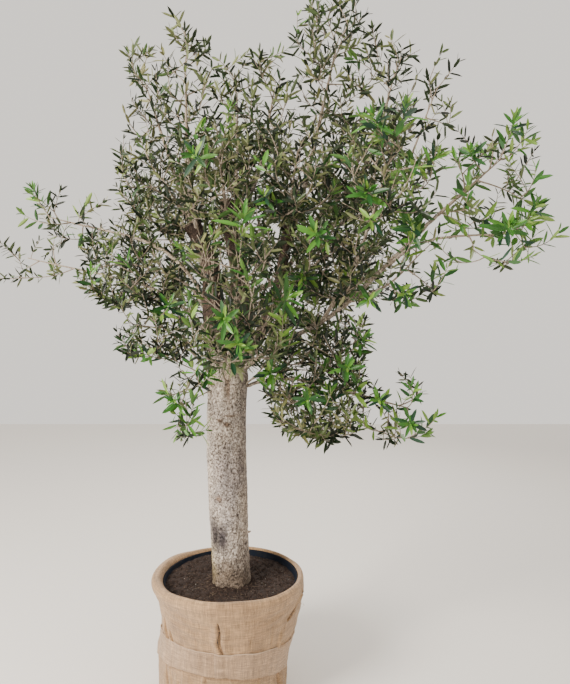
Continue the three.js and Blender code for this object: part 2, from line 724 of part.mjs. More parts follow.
function makePot() {
  const pot = new THREE.Group();
  pot.add(named("tub", makeTub(), COLOURS.tub, 0.55));
  pot.add(named("soil", makeSoil(), COLOURS.soil, 1));
  pot.add(named("burlap_wrap", makeWrap(), COLOURS.burlap, 0.95));
  pot.add(named("burlap_band", makeBand(), COLOURS.burlap, 0.95));
  return pot;
}

function makeWood() {
  const wood = new THREE.Group();
  wood.add(named("trunk", makeTrunk(), COLOURS.bark, 0.9));
  makeLimbs();
  for (const [name, solid] of Object.entries(limbs)) {
    wood.add(named(name, geometryOf(solid), COLOURS.branch, 0.9));
  }
  return wood;
}

function makeFoliage() {
  const foliage = new THREE.Group();
  Object.keys(MASSES).forEach((name, k) => {
    foliage.add(named("foliage_" + name, geometryOf(makeMass(name, FIRST_SEED + k)), COLOURS.leaf, 0.6));
  });
  return foliage;
}

const pottedOlive = new THREE.Group();
pottedOlive.add(makePot(), makeWood(), makeFoliage());

export default pottedOlive;
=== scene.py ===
# Looks of a potted olive tree. Metres, +Z up, origin under the middle of the pot, and the
# front of the tree faces -Y. The crown grows by the same rule as the part's solids.
import math

import bpy
import numpy as np
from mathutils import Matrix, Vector, noise


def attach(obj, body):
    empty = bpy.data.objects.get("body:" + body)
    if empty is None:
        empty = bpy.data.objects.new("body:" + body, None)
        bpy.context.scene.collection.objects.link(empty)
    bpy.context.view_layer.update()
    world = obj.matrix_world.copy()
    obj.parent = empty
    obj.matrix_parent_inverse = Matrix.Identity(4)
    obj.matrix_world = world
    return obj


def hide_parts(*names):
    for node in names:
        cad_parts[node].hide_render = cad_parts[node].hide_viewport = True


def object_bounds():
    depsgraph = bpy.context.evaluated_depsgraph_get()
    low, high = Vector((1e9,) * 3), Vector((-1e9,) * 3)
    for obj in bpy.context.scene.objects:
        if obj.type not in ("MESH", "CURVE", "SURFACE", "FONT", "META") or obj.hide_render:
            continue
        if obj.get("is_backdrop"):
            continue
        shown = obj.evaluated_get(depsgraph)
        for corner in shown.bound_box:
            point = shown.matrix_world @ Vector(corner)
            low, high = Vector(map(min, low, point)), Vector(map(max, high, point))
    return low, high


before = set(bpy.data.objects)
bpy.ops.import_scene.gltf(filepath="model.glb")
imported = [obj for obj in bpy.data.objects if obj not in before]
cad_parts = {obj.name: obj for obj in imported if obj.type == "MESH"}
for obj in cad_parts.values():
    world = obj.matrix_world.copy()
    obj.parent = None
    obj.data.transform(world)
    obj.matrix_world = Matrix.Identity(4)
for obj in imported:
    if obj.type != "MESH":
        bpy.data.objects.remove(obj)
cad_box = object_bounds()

# Camera: where the photograph was taken from
PHOTO_WIDTH = 570
FOCAL_PIXELS = 600
SENSOR_WIDTH = 36
CAMERA_PLACE = (0.23, -2.50, 1.62)
CAMERA_PITCH = math.radians(3)

# The stage
FLOOR_SIZE = 12
FLOOR_COLOUR = (0.78, 0.75, 0.71)
SKY_COLOUR, SKY_STRENGTH = (1.0, 0.945, 0.87), 1.16
# Lights: name, place, the point that they face, size, power and colour
LIGHTS = [
    ("key", (-2.8, -2.6, 3.4), (0, 0, 1.5), 1.8, 420, (1.0, 0.94, 0.85)),
    ("fill", (3.4, -2.4, 2.2), (0, 0, 1.4), 3.0, 9, (0.95, 0.97, 1.0)),
    ("rim", (1.5, 3.4, 3.6), (0, 0, 1.8), 2.2, 90, (1.0, 0.96, 0.90)),
]

# What each piece with random shapes draws its numbers from
SEEDS = {"threads": 5, "crumbs": 6, "roots": 7, "limbs": 8, "water shoots": 21, "rosettes": 77,
         "masses": 400}

# The tub and its soil
TUB_RIM, TUB_BASE, TUB_HEIGHT = 0.282, 0.205, 0.495
TUB_LIP, TUB_LIP_HEIGHT, TUB_WALL = 0.004, 0.022, 0.005
TUB_FLOOR, TUB_ROUND, TUB_COLUMNS = 0.006, 0.001, 160
SOIL_EDGE, SOIL_CROWN, SOIL_CROWN_RADIUS = 0.448, 0.460, 0.112
SOIL_INSIDE, SOIL_OUTSIDE, SOIL_COLUMNS, SOIL_ROWS = 0.06, 0.2745, 230, 70
CLOD, CLODS_PER_METRE = 0.0045, 45
# Where the soil is banked up against the tub: height, direction, and the cosines it fades between
SOIL_BANKS = [(0.029, 2.7, 0.0, 0.95), (0.020, 0.7, -0.3, 0.9)]
# The ragged heap at the trunk's foot: how many waves round it, how high and where each starts
HEAP, HEAP_RADIUS, HEAP_WIDTH = 0.013, 0.082, 0.018
HEAP_WAVES = [(3, 0.003, 0.4), (7, 0.003, 0), (17, 0.002, 0)]
# Crumbs: how many, their sizes, how near and far from the middle they lie, and their material
CRUMBS = [
    (4600, (0.0012, 0.0046), 0.086, 0.270, 0), (1500, (0.0010, 0.0028), 0.086, 0.270, 1),
    (900, (0.0022, 0.0066), 0.081, 0.102, 0), (260, (0.0014, 0.0036), 0.081, 0.106, 1),
    (26, (0.0013, 0.0026), 0.10, 0.268, 2),
]
ROOTS = {"count": 70, "nearest": 0.088, "spread": 0.035, "farthest": 0.27, "root": 0.0007,
         "tip": 0.0004}
SOIL_TONES = [(0.0056, 0.0026, 0.0016), (0.0215, 0.0102, 0.0062), (0.064, 0.033, 0.021)]
PALE_CRUMB_TONES = [(0.05, 0.033, 0.023), (0.12, 0.08, 0.056), (0.22, 0.16, 0.12)]
WHITE_GRAIN_TONES = [(0.45, 0.42, 0.38), (0.62, 0.58, 0.52), (0.75, 0.72, 0.66)]

# The burlap wrap: radius and height up its outside from the hem, then down its inside
BAND_LOW, BAND_HIGH = 0.215, 0.316
WRAP_OUTSIDE = [
    (0.288, 0.004), (0.289, 0.060), (0.289, 0.110), (0.290, 0.170), (0.289, BAND_LOW),
    (0.289, BAND_HIGH), (0.299, 0.385), (0.310, 0.445), (0.320, 0.476), (0.325, 0.495),
    (0.320, 0.511), (0.309, 0.518), (0.297, 0.515), (0.289, 0.507), (0.2850, 0.499),
]
WRAP_INSIDE = [(0.2872, 0.490), (0.2868, 0.400), (0.2850, 0.320), (0.2840, 0.200), (0.2840, 0.004)]
WRAP_COLUMNS, WRAP_ROWS, WRAP_INNER_ROWS = 500, 150, 12
ROWS_AT_LIP = 6  # the last rows of the outside, which stay even
# Where its grid is finer and how many times, in degrees round it and as shares up it
FINE_ANGLES = [(-149, -134, 3), (-100, -86, 4), (-45, -14, 3.5)]
FINE_SHARES = (0.56, 0.81, 2.3)
ROLL = (0.44, 0.49)  # the heights between which the cloth turns into its roll
RIM_INSIDE, RIM_TOP = 0.287, 0.497
# How much thinner the roll is pressed, and the direction where most of that is
PRESSED, PRESSED_AT = 0.62, math.radians(60)
# How far the edges of the band and the cloth there have slipped, at the back and at the right
SLIP_LOW, SLIP_HIGH = (0.060, 0.037), (0.043, 0.016)
STILL_BELOW, STILL_ABOVE = 0.020, 0.385
# Heights of the wrap, how far it is drawn in at its right, and how far it stands out at its left
LOPSIDED = [
    (0.004, 0.058, 0.010), (0.110, 0.054, 0.011), (0.165, 0.050, 0.013), (0.200, 0.043, 0.017),
    (0.223, 0.037, 0.014), (0.268, 0.020, 0.003), (0.320, 0.008, 0.000), (0.385, 0.000, 0.000),
]
# How far its soft shapes stand out: the belly, the roll at the left, crinkles above the band, and
# in the skirt its waves, its gathers and the hollow under the band
SOFT = {"belly": 0.0025, "roll": 0.007, "crinkle": 0.0016, "wave": 0.005, "gather": 0.003,
        "hollow": 0.008}
# The pinched fold at the front: heights, direction in degrees, and half the width of its slit
TUCK = [
    (0.315, -91.3, 0.0036), (0.326, -92.6, 0.0046), (0.346, -94.0, 0.0062), (0.366, -94.4, 0.006),
    (0.384, -94.0, 0.0048), (0.405, -93.3, 0.0032), (0.42, -93.6, 0.0024), (0.448, -94.2, 0.0014),
]
TUCK_DEPTH, TUCK_LIPS = 0.030, 0.010
FRONT = -95.5  # the direction of the band's end and the tuck's knot, in degrees
# The loose corner at the right: where the slanting slit under it starts and ends, its depth,
# from end to end how wide it gapes and how far the lip and the eave beside it stand out, and
# how far the cloth is drawn over it
FLAP = {
    "low_angle": -36, "low": 0.397, "high_angle": -18, "high": 0.443, "depth": 0.046,
    "gape": (0.0050, 0.0120), "lip": (0.0021, 0.007), "eave": (0.003, 0.018), "drop": 0.0022,
    "lift": 0.0010,
}
# Upright creases: direction at the foot and at the top, heights of both, and depth
CREASES = [
    (-145.0, -146.5, 0.318, 0.4, 0.019), (-137.9, -140.0, 0.318, 0.366, 0.015),
    (-112, -112, 0.33, 0.4, 0.002), (-70, -71, 0.33, 0.4, 0.003), (-52, -54, 0.33, 0.42, 0.004),
    (-41.0, -38.6, 0.312, 0.388, 0.019), (-17, -16, 0.44, 0.49, 0.006),
    (12, 14, 0.34, 0.45, 0.007), (75, 72, 0.33, 0.44, 0.008), (140, 143, 0.34, 0.45, 0.007),
]
CREASE_SLIT = 0.0032
# Folds of the skirt: direction at the band, degrees that it moves by down to the hem, and depth
FOLDS = [
    (-170, 2, 0.01), (-145, 3, 0.015), (-129.5, 0, 0.012), (-111, 4, 0.015), (-88.5, 3, 0.016),
    (-62, -2, 0.007), (-37.5, 12, 0.03), (5, 3, 0.009), (50, -4, 0.01), (105, 5, 0.01),
    (150, -3, 0.009),
]
RIDGE = 0.5  # how high the ridge beside a fold or crease is, as a share of its depth
DEEP_SLIT, DEEP_VALLEY = 0.0055, 0.013  # the cloth is darkened with painted shade where it lies deeper than this
CLOTH_RADIUS = 0.295  # turns an angle into a distance along the cloth
MAP_RADIUS = 0.3  # the same for the weave

# The burlap band
BAND_RADIUS, BAND_SHEET, BAND_COLUMNS, BAND_LAP = 0.294, 0.0035, 420, 0.004
BAND_START, BAND_TURN = FRONT + 4, 366  # in degrees: once round, and then it laps over itself
BAND_ROWS = [0, 0.02, 0.08, 0.3, 0.6, 0.9, 0.97, 1.0]  # as shares of its height
# Frayed threads: how many, directions in degrees, heights, and the longest of them
EDGE_THREADS, EDGE_THREAD_LENGTH = 46, 0.012
THREADS = [
    (26, (-42, -30), (BAND_HIGH - 0.004, BAND_HIGH + 0.012), 0.026),
    (14, (-36, -10), (0.388, 0.432), 0.020),
    (14, (FRONT - 1.14592, FRONT + 2.86479), (BAND_LOW, BAND_HIGH), 0.012),
]
THREAD_RADIUS = 0.00045
THREADS_FROM = {"band": 0.295, "rim": 0.312}
KNOT = {"turn": 0.03, "radius": 0.302, "height": 0.415, "half_width": 0.006}

BURLAP_TONES = [(0.330, 0.201, 0.104), (0.462, 0.292, 0.153)]
BELT_TONES = [(0.377, 0.244, 0.144), (0.477, 0.319, 0.197)]
# Painted shade: the darker burlap deep in the wrap's slits and folds
FOLD_SHADE_TONES = [(0.040, 0.022, 0.013), (0.080, 0.046, 0.026)]
# The band's turned top edge has a painted highlight in this tone, from this height up
HEM_HIGHLIGHT_TONE, HEM_HEIGHT = (0.56, 0.42, 0.30), 0.0975

# The trunk's rings from the soil to its head: height, centre x and radius
TRUNK_RINGS = [
    (0.46, 0.001, 0.083), (0.5, 0.0, 0.08), (0.56, -0.003, 0.079), (0.7, -0.008, 0.081),
    (0.85, -0.013, 0.082), (1.0, -0.017, 0.082), (1.15, -0.016, 0.081), (1.27, -0.013, 0.082),
    (1.33, -0.01, 0.085), (1.375, -0.006, 0.08), (1.408, -0.002, 0.062), (1.424, 0.0, 0.036),
]
TRUNK_FOOT, TRUNK_FLUTE, TRUNK_FLUTES, TRUNK_TWIST = 0.440, 0.025, 5, 2.2
TRUNK_COLUMNS, TRUNK_ROWS, BOUGH_SIDES = 90, 150, 26
BARK_VOXEL = 0.0043
# Relief of the bark: lumps, furrows, roughness and pits
LUMP, FURROW, ROUGH, PIT = 0.0036, 0.0026, 0.0014, 0.0030
GROOVE = {"x": -0.004, "low": 1.19, "high": 1.42, "width": 0.014, "depth": 0.012}
NUB = [(0.066, -0.022, 0.688), (0.077, -0.024, 0.691), (0.088, -0.024, 0.697)]
OLD_BARK_TONES = [
    (0.100, 0.078, 0.065), (0.250, 0.205, 0.172), (0.410, 0.352, 0.302), (0.560, 0.493, 0.430),
    (0.800, 0.730, 0.655),
]
YOUNG_BARK_TONES = [
    (0.110, 0.083, 0.064), (0.260, 0.205, 0.157), (0.400, 0.330, 0.258), (0.520, 0.445, 0.355),
    (0.660, 0.580, 0.475),
]
# The boughs' darker, redder bark: partly their own colour, partly painted shade under the crown
BOUGH_TONE_AND_SHADE = (0.15, 0.108, 0.088)
BOUGHS_FROM, BOUGHS_TO = 1.43, 1.57  # the heights between which the bark darkens
# Marks on the trunk, two of them painted shade: place, half width, half height, and the tone that they
# multiply by
BARK_MARKS_AND_SHADES = [
    ((-0.061, -0.072, 0.690), 0.022, 0.080, (0.17, 0.16, 0.18)),
    ((-0.030, -0.085, 0.676), 0.029, 0.066, (0.18, 0.17, 0.20)),
    ((0.004, -0.085, 0.945), 0.078, 0.135, (0.66, 0.66, 0.71)),
    ((-0.035, -0.080, 1.172), 0.017, 0.010, (0.30, 0.23, 0.18)),
    ((-0.006, -0.085, 1.156), 0.018, 0.012, (0.30, 0.23, 0.18)),
    ((0.010, -0.085, 1.190), 0.030, 0.006, (0.55, 0.48, 0.42)),
    ((-0.042, -0.080, 0.846), 0.016, 0.016, (0.42, 0.33, 0.27)),
    ((0.050, -0.070, 0.975), 0.012, 0.045, (0.46, 0.44, 0.46)),
    # painted shade down the groove that runs from the fork
    ((-0.002, -0.085, 1.305), 0.012, 0.090, (0.44, 0.38, 0.33)),
    ((0.000, -0.040, 0.485), 0.150, 0.110, (0.42, 0.37, 0.32)),
    # painted shade on the trunk's right flank, turned from the key light
    ((0.082, -0.030, 0.900), 0.045, 0.620, (0.66, 0.63, 0.61)),
    ((-0.080, -0.030, 0.555), 0.040, 0.090, (0.95, 0.93, 0.66)),
]
MARK_DEPTH = 0.05  # the least that a mark reaches into the trunk

# The masses of foliage: centre, reach along each axis, number of main shoots, how leafy, and
# the share of twigs that are young, with larger and fresher leaves
MASSES = {
    "top_left_outer": ((-0.350, 0.090, 2.490), (0.100, 0.140, 0.260), 4, 0.85, 0.02),
    "top_left": ((-0.155, -0.120, 2.480), (0.115, 0.140, 0.255), 5, 0.9, 0.03),
    "top_middle": ((0.020, 0.190, 2.470), (0.130, 0.160, 0.270), 4, 1.0, 0.01),
    "top_inner": ((0.180, -0.150, 2.385), (0.110, 0.140, 0.225), 4, 1.0, 0.02),
    "top_peak": ((0.435, 0.050, 2.630), (0.175, 0.170, 0.305), 7, 0.9, 0.01),
    "top_right": ((0.665, 0.000, 2.500), (0.105, 0.150, 0.235), 4, 0.9, 0.05),
    "spur_right": ((0.805, -0.110, 2.390), (0.100, 0.110, 0.270), 3, 0.32, 0.04),
    "left_high": ((-0.265, 0.010, 2.130), (0.190, 0.240, 0.215), 5, 1.3, 0.03),
    "middle_high": ((-0.010, -0.190, 2.130), (0.170, 0.230, 0.195), 4, 1.25, 0.04),
    "right_high": ((0.265, -0.220, 2.130), (0.165, 0.230, 0.190), 4, 1.25, 0.06),
    "right_far": ((0.540, 0.070, 2.240), (0.200, 0.250, 0.215), 5, 1.15, 0.05),
    "right_near": ((0.575, -0.410, 2.090), (0.180, 0.210, 0.190), 4, 1.0, 0.25),
    "left_middle": ((-0.390, 0.040, 1.810), (0.230, 0.270, 0.180), 5, 1.1, 0.05),
    "shoot_left": ((-0.650, -0.050, 1.980), (0.185, 0.110, 0.150), 3, 0.4, 0.35),
    "shoot_left_far": ((-0.860, 0.290, 1.850), (0.275, 0.110, 0.130), 3, 0.2, 0.0),
    "left_low": ((-0.275, -0.050, 1.560), (0.175, 0.220, 0.140), 4, 1.0, 0.10),
    "middle_front": ((0.060, -0.370, 1.680), (0.190, 0.210, 0.290), 5, 1.3, 0.13),
    "right_middle": ((0.410, -0.190, 1.850), (0.210, 0.250, 0.195), 5, 1.25, 0.07),
    "shoot_high": ((0.890, -0.450, 2.070), (0.195, 0.160, 0.190), 4, 0.45, 0.45),
    "shoot_low": ((0.940, -0.430, 1.880), (0.215, 0.130, 0.110), 3, 0.4, 0.8),
    "right_edge": ((0.695, -0.300, 1.790), (0.130, 0.170, 0.190), 3, 0.45, 0.25),
    "right_low": ((0.350, -0.170, 1.410), (0.215, 0.240, 0.300), 5, 1.45, 0.10),
    "right_low_tip": ((0.630, -0.200, 1.260), (0.185, 0.150, 0.150), 3, 0.4, 0.45),
    "hanging_left": ((-0.150, -0.220, 1.310), (0.105, 0.120, 0.200), 3, 0.55, 0.55),
    "back_left": ((-0.310, 0.480, 1.930), (0.290, 0.280, 0.320), 5, 0.62, 0.04),
    "back_middle": ((0.060, 0.560, 2.190), (0.280, 0.290, 0.370), 6, 0.62, 0.04),
    "back_right": ((0.480, 0.510, 1.960), (0.300, 0.290, 0.330), 5, 0.62, 0.04),
    "back_low": ((0.120, 0.460, 1.560), (0.350, 0.270, 0.220), 5, 0.8, 0.08),
}

# The limbs: what each grows from and how far along it, the points it passes, the mass it
# carries, and its radii at both ends
LIMBS = [
    ("bough_left", "trunk", 0.86, [(-0.06, -0.005, 1.49), (-0.072, 0.0, 1.65), (-0.09, 0.0, 1.84)],
     "left_high", 0.042, 0.036),
    ("bough_middle", "trunk", 0.88, [(0.062, 0.015, 1.57), (0.045, 0.025, 1.74), (0.0, 0.01, 1.96)],
     "middle_high", 0.037, 0.03),
    ("bough_right", "trunk", 0.86, [(0.125, 0.045, 1.52), (0.2, 0.02, 1.72)],
     "right_high", 0.027, 0.02),
    ("bough_back", "trunk", 0.88, [(-0.02, 0.12, 1.53), (0.01, 0.27, 1.78)],
     "back_middle", 0.032, 0.022),
    ("bough_front", "trunk", 0.84, [(0.01, -0.13, 1.425)], "middle_front", 0.017, 0.011),
    ("bough_right_long", "trunk", 0.9, [(0.17, -0.06, 1.462), (0.42, -0.175, 1.61), (0.74, -0.37, 1.93)],
     "shoot_high", 0.012, 0.009),
    ("limb_top_left_outer", "bough_left", 0.8, [(-0.19, 0.07, 2.06)],
     "top_left_outer", 0.012, 0.009),
    ("limb_top_left", "bough_left", 0.9, [(-0.15, -0.08, 2.08)], "top_left", 0.012, 0.009),
    ("limb_top_middle", "bough_middle", 0.75, [(0.02, 0.12, 2.08)], "top_middle", 0.012, 0.009),
    ("limb_top_inner", "bough_middle", 0.9, [(0.11, -0.03, 2.14)], "top_inner", 0.011, 0.008),
    ("limb_top_peak", "bough_right", 0.7, [(0.29, 0.05, 2.05)], "top_peak", 0.014, 0.01),
    ("limb_right_far", "bough_right", 0.6, [(0.33, 0.04, 1.95)], "right_far", 0.013, 0.009),
    ("limb_top_right", "limb_right_far", 0.75, [(0.56, 0.02, 2.21)], "top_right", 0.01, 0.008),
    ("limb_spur_right", "limb_right_far", 0.55, [(0.64, -0.06, 2.08)], "spur_right", 0.008, 0.006),
    ("limb_right_middle", "bough_right", 0.35, [(0.25, -0.05, 1.71)], "right_middle", 0.011, 0.008),
    ("limb_right_near", "bough_right_long", 0.45, [(0.49, -0.28, 1.8)], "right_near", 0.009, 0.007),
    ("limb_right_edge", "bough_right_long", 0.6, [(0.6, -0.29, 1.71)], "right_edge", 0.007, 0.006),
    ("limb_shoot_low", "bough_right_long", 0.75, [(0.72, -0.39, 1.86)], "shoot_low", 0.007, 0.006),
    ("limb_left_middle", "bough_left", 0.35, [(-0.17, 0.02, 1.72)], "left_middle", 0.011, 0.008),
    ("limb_shoot_left", "bough_left", 0.5, [(-0.26, -0.04, 1.86)], "shoot_left", 0.009, 0.006),
    ("limb_shoot_left_far", "bough_left", 0.28, [(-0.3, 0.17, 1.69)],
     "shoot_left_far", 0.009, 0.006),
    ("limb_right_low_tip", "trunk", 0.85, [(0.22, -0.04, 1.34)], "right_low_tip", 0.009, 0.007),
    ("limb_back_left", "bough_back", 0.5, [(-0.12, 0.3, 1.74)], "back_left", 0.014, 0.01),
    ("limb_back_right", "bough_back", 0.55, [(0.19, 0.32, 1.76)], "back_right", 0.014, 0.01),
]
THICK = 0.020  # limbs thicker than this radius are one surface with the trunk
# Sawn-off boughs: the bough, how far along it the stub leaves, where it ends and its radius
CUT_STUBS = [
    ("bough_left", 0.86, (-0.155, 0.000, 1.975), 0.036),
    ("bough_middle", 0.86, (-0.014, 0.020, 2.078), 0.030),
]
# Masses whose stem grows from the trunk itself, with the point it leaves towards
FROM_TRUNK = [
    ("left_low", 0.82, (-0.150, -0.020, 1.440)),
    ("hanging_left", 0.79, (-0.120, -0.120, 1.370)),
    ("right_low", 0.80, (0.140, -0.060, 1.370)),
    ("back_low", 0.85, (0.020, 0.150, 1.430)),
]

# The rule that a mass grows by
FIRST_SEED = 11
SPREAD = math.pi * (3 - math.sqrt(5))  # the golden angle
CELL_MARGIN = 0.0015
LIMB_SINK = 0.012
STEM_RADIUS = 0.007
SHOULDER = 3.4  # how square the shoulders of a mass are for its fine growth
STEM = {"overshoot": 0.4, "root": 0.0070, "tip": 0.0020, "taper": 0.7}
SHOOT = {
    "leave": 0.16, "sag": 0.1, "reach": 0.76, "lowest": -0.75, "highest": 0.95, "first": 0.12,
    "last": 0.94, "root": 0.0032, "tip": 0.0014, "bare": 0.5, "margin": 0.004,
}
TWIG = {
    "per_m3": 1060, "rise": 0.07, "shortest": 0.09, "root": 0.0021, "tip": 0.0010,
    "bare": 0.24, "margin": 0.008,
}
TWIG_TRIES = 10
# How much it counts against a place that a twig would rise too little or be too short
LOW_COST, SHORT_COST = 1.3, 4
WATER_SHOOT = {
    "count": 14, "root": 0.0034, "tip": 0.0013, "bare": 0.45, "along": (0.08, 0.9),
    "out": (0.05, 0.16), "up": (0.14, 0.34),
}
# The boughs that water shoots grow from, and the mass that each one's twigs count with
WATER_SHOOTS = {
    "bough_left": "left_middle", "bough_middle": "middle_high", "bough_right": "right_middle",
    "bough_back": "back_low",
}
OLD_LEAF = {"length": 0.050, "width": 0.0118, "apart": 0.0200}
TOP_LEAF = {"length": 0.059, "width": 0.0122, "apart": 0.0250}
YOUNG_LEAF = {"length": 0.066, "width": 0.0165, "apart": 0.0240}
LEAF_THICKNESS, LEAF_FOLD = 0.0005, 0.22
# How leaves differ: size, width, curl, how far they lean out from the twig, how much smaller
# they are at its ends, how many have the tint of their twig, and how many are missing
LEAF_SIZES, LEAF_WIDTHS, LEAF_CURLS, LEANS = (0.75, 1.2), (0.85, 1.15), (-0.03, 0.14), (0.65, 1.35)
SIZE_AT_ROOT, SIZE_AT_TIP, SAME_TINT, MISSING_LEAVES = 0.8, 0.62, 0.7, 0.08
LEAF_OVERHANG = 0.03  # how far a tip may stand out of the room of its mass
LEAF_SHINE = {"leaf": (0.4, 0.36), "underside": (0.65, 0.18)}  # roughness and gloss
# Outlines of a leaf: shares along it and how wide it is there, as a share of its width
OLD_ROWS = [(0.22, 0.92), (0.72, 0.90)]
YOUNG_ROWS = [(0.18, 0.64), (0.5, 1.0), (0.82, 0.66)]
GROWING_ROOM = ((-1.15, -0.635, 0.0), (1.19, 0.835, 2.985))
LIMB_CLEARANCE = 0.004

# Tips that stand out of the crown's outline: x and height, for each mass
TIPS = {
    "top_left_outer": [(-0.43, 2.63), (-0.4, 2.72), (-0.33, 2.71)],
    "top_left": [(-0.2, 2.75), (-0.12, 2.67), (-0.08, 2.62)],
    "top_middle": [(-0.05, 2.69), (0.06, 2.75)],
    "top_inner": [(0.14, 2.6), (0.23, 2.62)],
    "top_peak": [(0.31, 2.81), (0.37, 2.87), (0.44, 2.9), (0.5, 2.91), (0.56, 2.83), (0.64, 2.74)],
    "top_right": [(0.7, 2.68), (0.78, 2.68)],
    "spur_right": [(0.8, 2.49), (0.87, 2.42)],
    "left_high": [(-0.44, 2.29), (-0.43, 2.22), (-0.43, 2.1)],
    "left_middle": [(-0.57, 1.9)],
    "right_near": [(0.64, 2.28)],
    "shoot_left": [(-0.79, 2.09)],
    "shoot_left_far": [(-1.01, 1.89), (-1.09, 1.94)],
    "shoot_high": [(0.97, 2.18), (1.05, 2.18)],
    "shoot_low": [(1.05, 1.92), (1.11, 1.97)],
    "hanging_left": [(-0.19, 1.22), (-0.18, 1.15)],
    "right_low": [(0.42, 1.12), (0.33, 1.12)],
    "right_low_tip": [(0.64, 1.15), (0.77, 1.14)],
}

# Openings that show a bough from the front: the place on the bough, and the opening's radius
POCKETS = [
    ((-0.091, 0.0, 1.846), 0.045), ((-0.07, 0.0, 1.651), 0.042), ((-0.153, 0.0, 1.965), 0.038),
    ((-0.016, 0.02, 2.07), 0.045), ((0.33, -0.13, 1.545), 0.028), ((0.4, -0.165, 1.595), 0.03),
    ((0.47, -0.205, 1.65), 0.03), ((0.54, -0.25, 1.715), 0.028), ((0.61, -0.29, 1.79), 0.024),
]

# New growth at the front: mass, x, height and size of each rosette
ROSETTES = [
    ("middle_front", 0.09, 1.895, 1.3), ("right_middle", 0.345, 1.87, 1.15),
    ("middle_front", 0.216, 1.65, 1.3), ("left_low", -0.215, 1.63, 0.95),
    ("middle_front", 0.035, 1.59, 0.95), ("middle_front", 0.075, 1.51, 0.95),
    ("right_low", 0.185, 1.39, 1.05), ("right_low", 0.446, 1.412, 0.95),
    ("right_low", 0.312, 1.307, 0.9), ("right_low", 0.505, 1.5, 0.95),
    ("right_near", 0.5, 1.99, 1.0), ("right_high", 0.425, 2.15, 1.0),
    ("middle_high", -0.07, 2.145, 1.1), ("right_high", 0.163, 2.02, 0.8),
    ("right_near", 0.525, 2.21, 1.05), ("right_near", 0.61, 2.235, 1.2),
    ("right_near", 0.695, 2.095, 1.05), ("right_edge", 0.665, 1.89, 1.15),
    ("right_middle", 0.296, 1.735, 0.8), ("right_edge", 0.535, 1.658, 0.8),
    ("right_edge", 0.64, 1.676, 0.9), ("right_low_tip", 0.573, 1.29, 0.8),
    ("right_low_tip", 0.685, 1.21, 0.9), ("hanging_left", -0.06, 1.365, 0.8),
    ("hanging_left", -0.17, 1.285, 0.7), ("middle_front", -0.105, 1.818, 0.8),
    ("shoot_left", -0.755, 2.075, 0.8), ("middle_high", 0.025, 2.325, 0.9),
    ("shoot_high", 0.955, 2.195, 1.0), ("shoot_high", 0.83, 2.11, 0.85),
    ("shoot_low", 0.945, 1.875, 1.15), ("shoot_low", 1.04, 1.94, 1.0),
]
ROSETTE_SHOOT = {"root": 0.0026, "tip": 0.0015, "bare": 0.4}
ROSETTE_PAIRS, ROSETTE_STEP = 7, 0.007
# Lean and length of its outermost and innermost leaves
ROSETTE_LEANS, ROSETTE_LENGTHS = (1.45, 0.25), (0.074, 0.032)
ROSETTE_LIMIT = -0.545  # the y that no rosette's heart is in front of

# Leaf tints: above, beneath, and share of the twigs
# The darkest and the palest old tints are partly painted shade and painted highlight, and every
# underside is darker than the silvery underside of a real olive leaf, as painted shade.
OLD_TINTS = [
    ((0.004, 0.010, 0.003), (0.018, 0.029, 0.012), 0.33),
    ((0.012, 0.025, 0.007), (0.045, 0.062, 0.026), 0.21),
    ((0.038, 0.062, 0.016), (0.104, 0.128, 0.054), 0.19),
    ((0.096, 0.131, 0.038), (0.198, 0.222, 0.100), 0.15),
    ((0.014, 0.046, 0.008), (0.055, 0.096, 0.030), 0.07),
    ((0.150, 0.154, 0.056), (0.230, 0.228, 0.112), 0.05),
]
YOUNG_TINTS = [
    ((0.007, 0.036, 0.014), (0.026, 0.064, 0.038), 0.30),
    ((0.014, 0.066, 0.012), (0.042, 0.100, 0.034), 0.28),
    ((0.030, 0.112, 0.014), (0.072, 0.158, 0.040), 0.23),
    ((0.066, 0.190, 0.020), (0.115, 0.225, 0.048), 0.14),
    ((0.160, 0.285, 0.042), (0.200, 0.300, 0.078), 0.05),
]
FRESHEST = 2  # young tints from this one on are for the tips


def unit(v):
    return v / np.linalg.norm(v, axis=-1, keepdims=True)


def mix(a, b, t):
    return a + (b - a) * t


def smooth(x, low, high):
    """0 below low, 1 above high, and an easy slope between."""
    t = np.clip((x - low) / (high - low), 0, 1)
    return t * t * (3 - 2 * t)


def window(x, rise, fall):
    """1 between two edges, easing up over the pair rise and down over the pair fall."""
    return smooth(x, *rise) * (1 - smooth(x, *fall))


def bell(x, width):
    """1 where x is 0, and next to nothing from twice the width on."""
    return np.exp(-((x / width) ** 2))


def outward(angle, z=0.0):
    return np.array((math.cos(angle), math.sin(angle), z))


def sideways(angle):
    return np.array((-math.sin(angle), math.cos(angle), 0.0))


def upward(z):
    return np.array((0, 0, z))


def source_random(seed):
    """The part's own random numbers from 0 to 1, so that its main shoots come out alike."""
    state = seed

    def draw():
        nonlocal state
        state = (state + 0x6D2B79F5) & 0xFFFFFFFF
        t = ((state ^ (state >> 15)) * (1 | state)) & 0xFFFFFFFF
        t = ((t + ((t ^ (t >> 7)) * (61 | t))) & 0xFFFFFFFF) ^ t
        return ((t ^ (t >> 14)) & 0xFFFFFFFF) / 4294967296

    return draw


class Curve:
    """A path through close points, read by share of its length."""

    def __init__(self, points):
        self.points = np.asarray(points, float)
        steps = np.linalg.norm(np.diff(self.points, axis=0), axis=1)
        self.lengths = np.concatenate(([0], np.cumsum(steps)))
        self.length = self.lengths[-1]

    def at(self, share):
        where = np.asarray(share) * self.length
        return np.stack([np.interp(where, self.lengths, self.points[:, k]) for k in range(3)], -1)

    def tangent(self, share):
        step = 0.5 / len(self.points)
        low = np.clip(np.asarray(share) - step, 0, 1)
        high = np.clip(np.asarray(share) + step, 0, 1)
        return unit(self.at(high) - self.at(low))


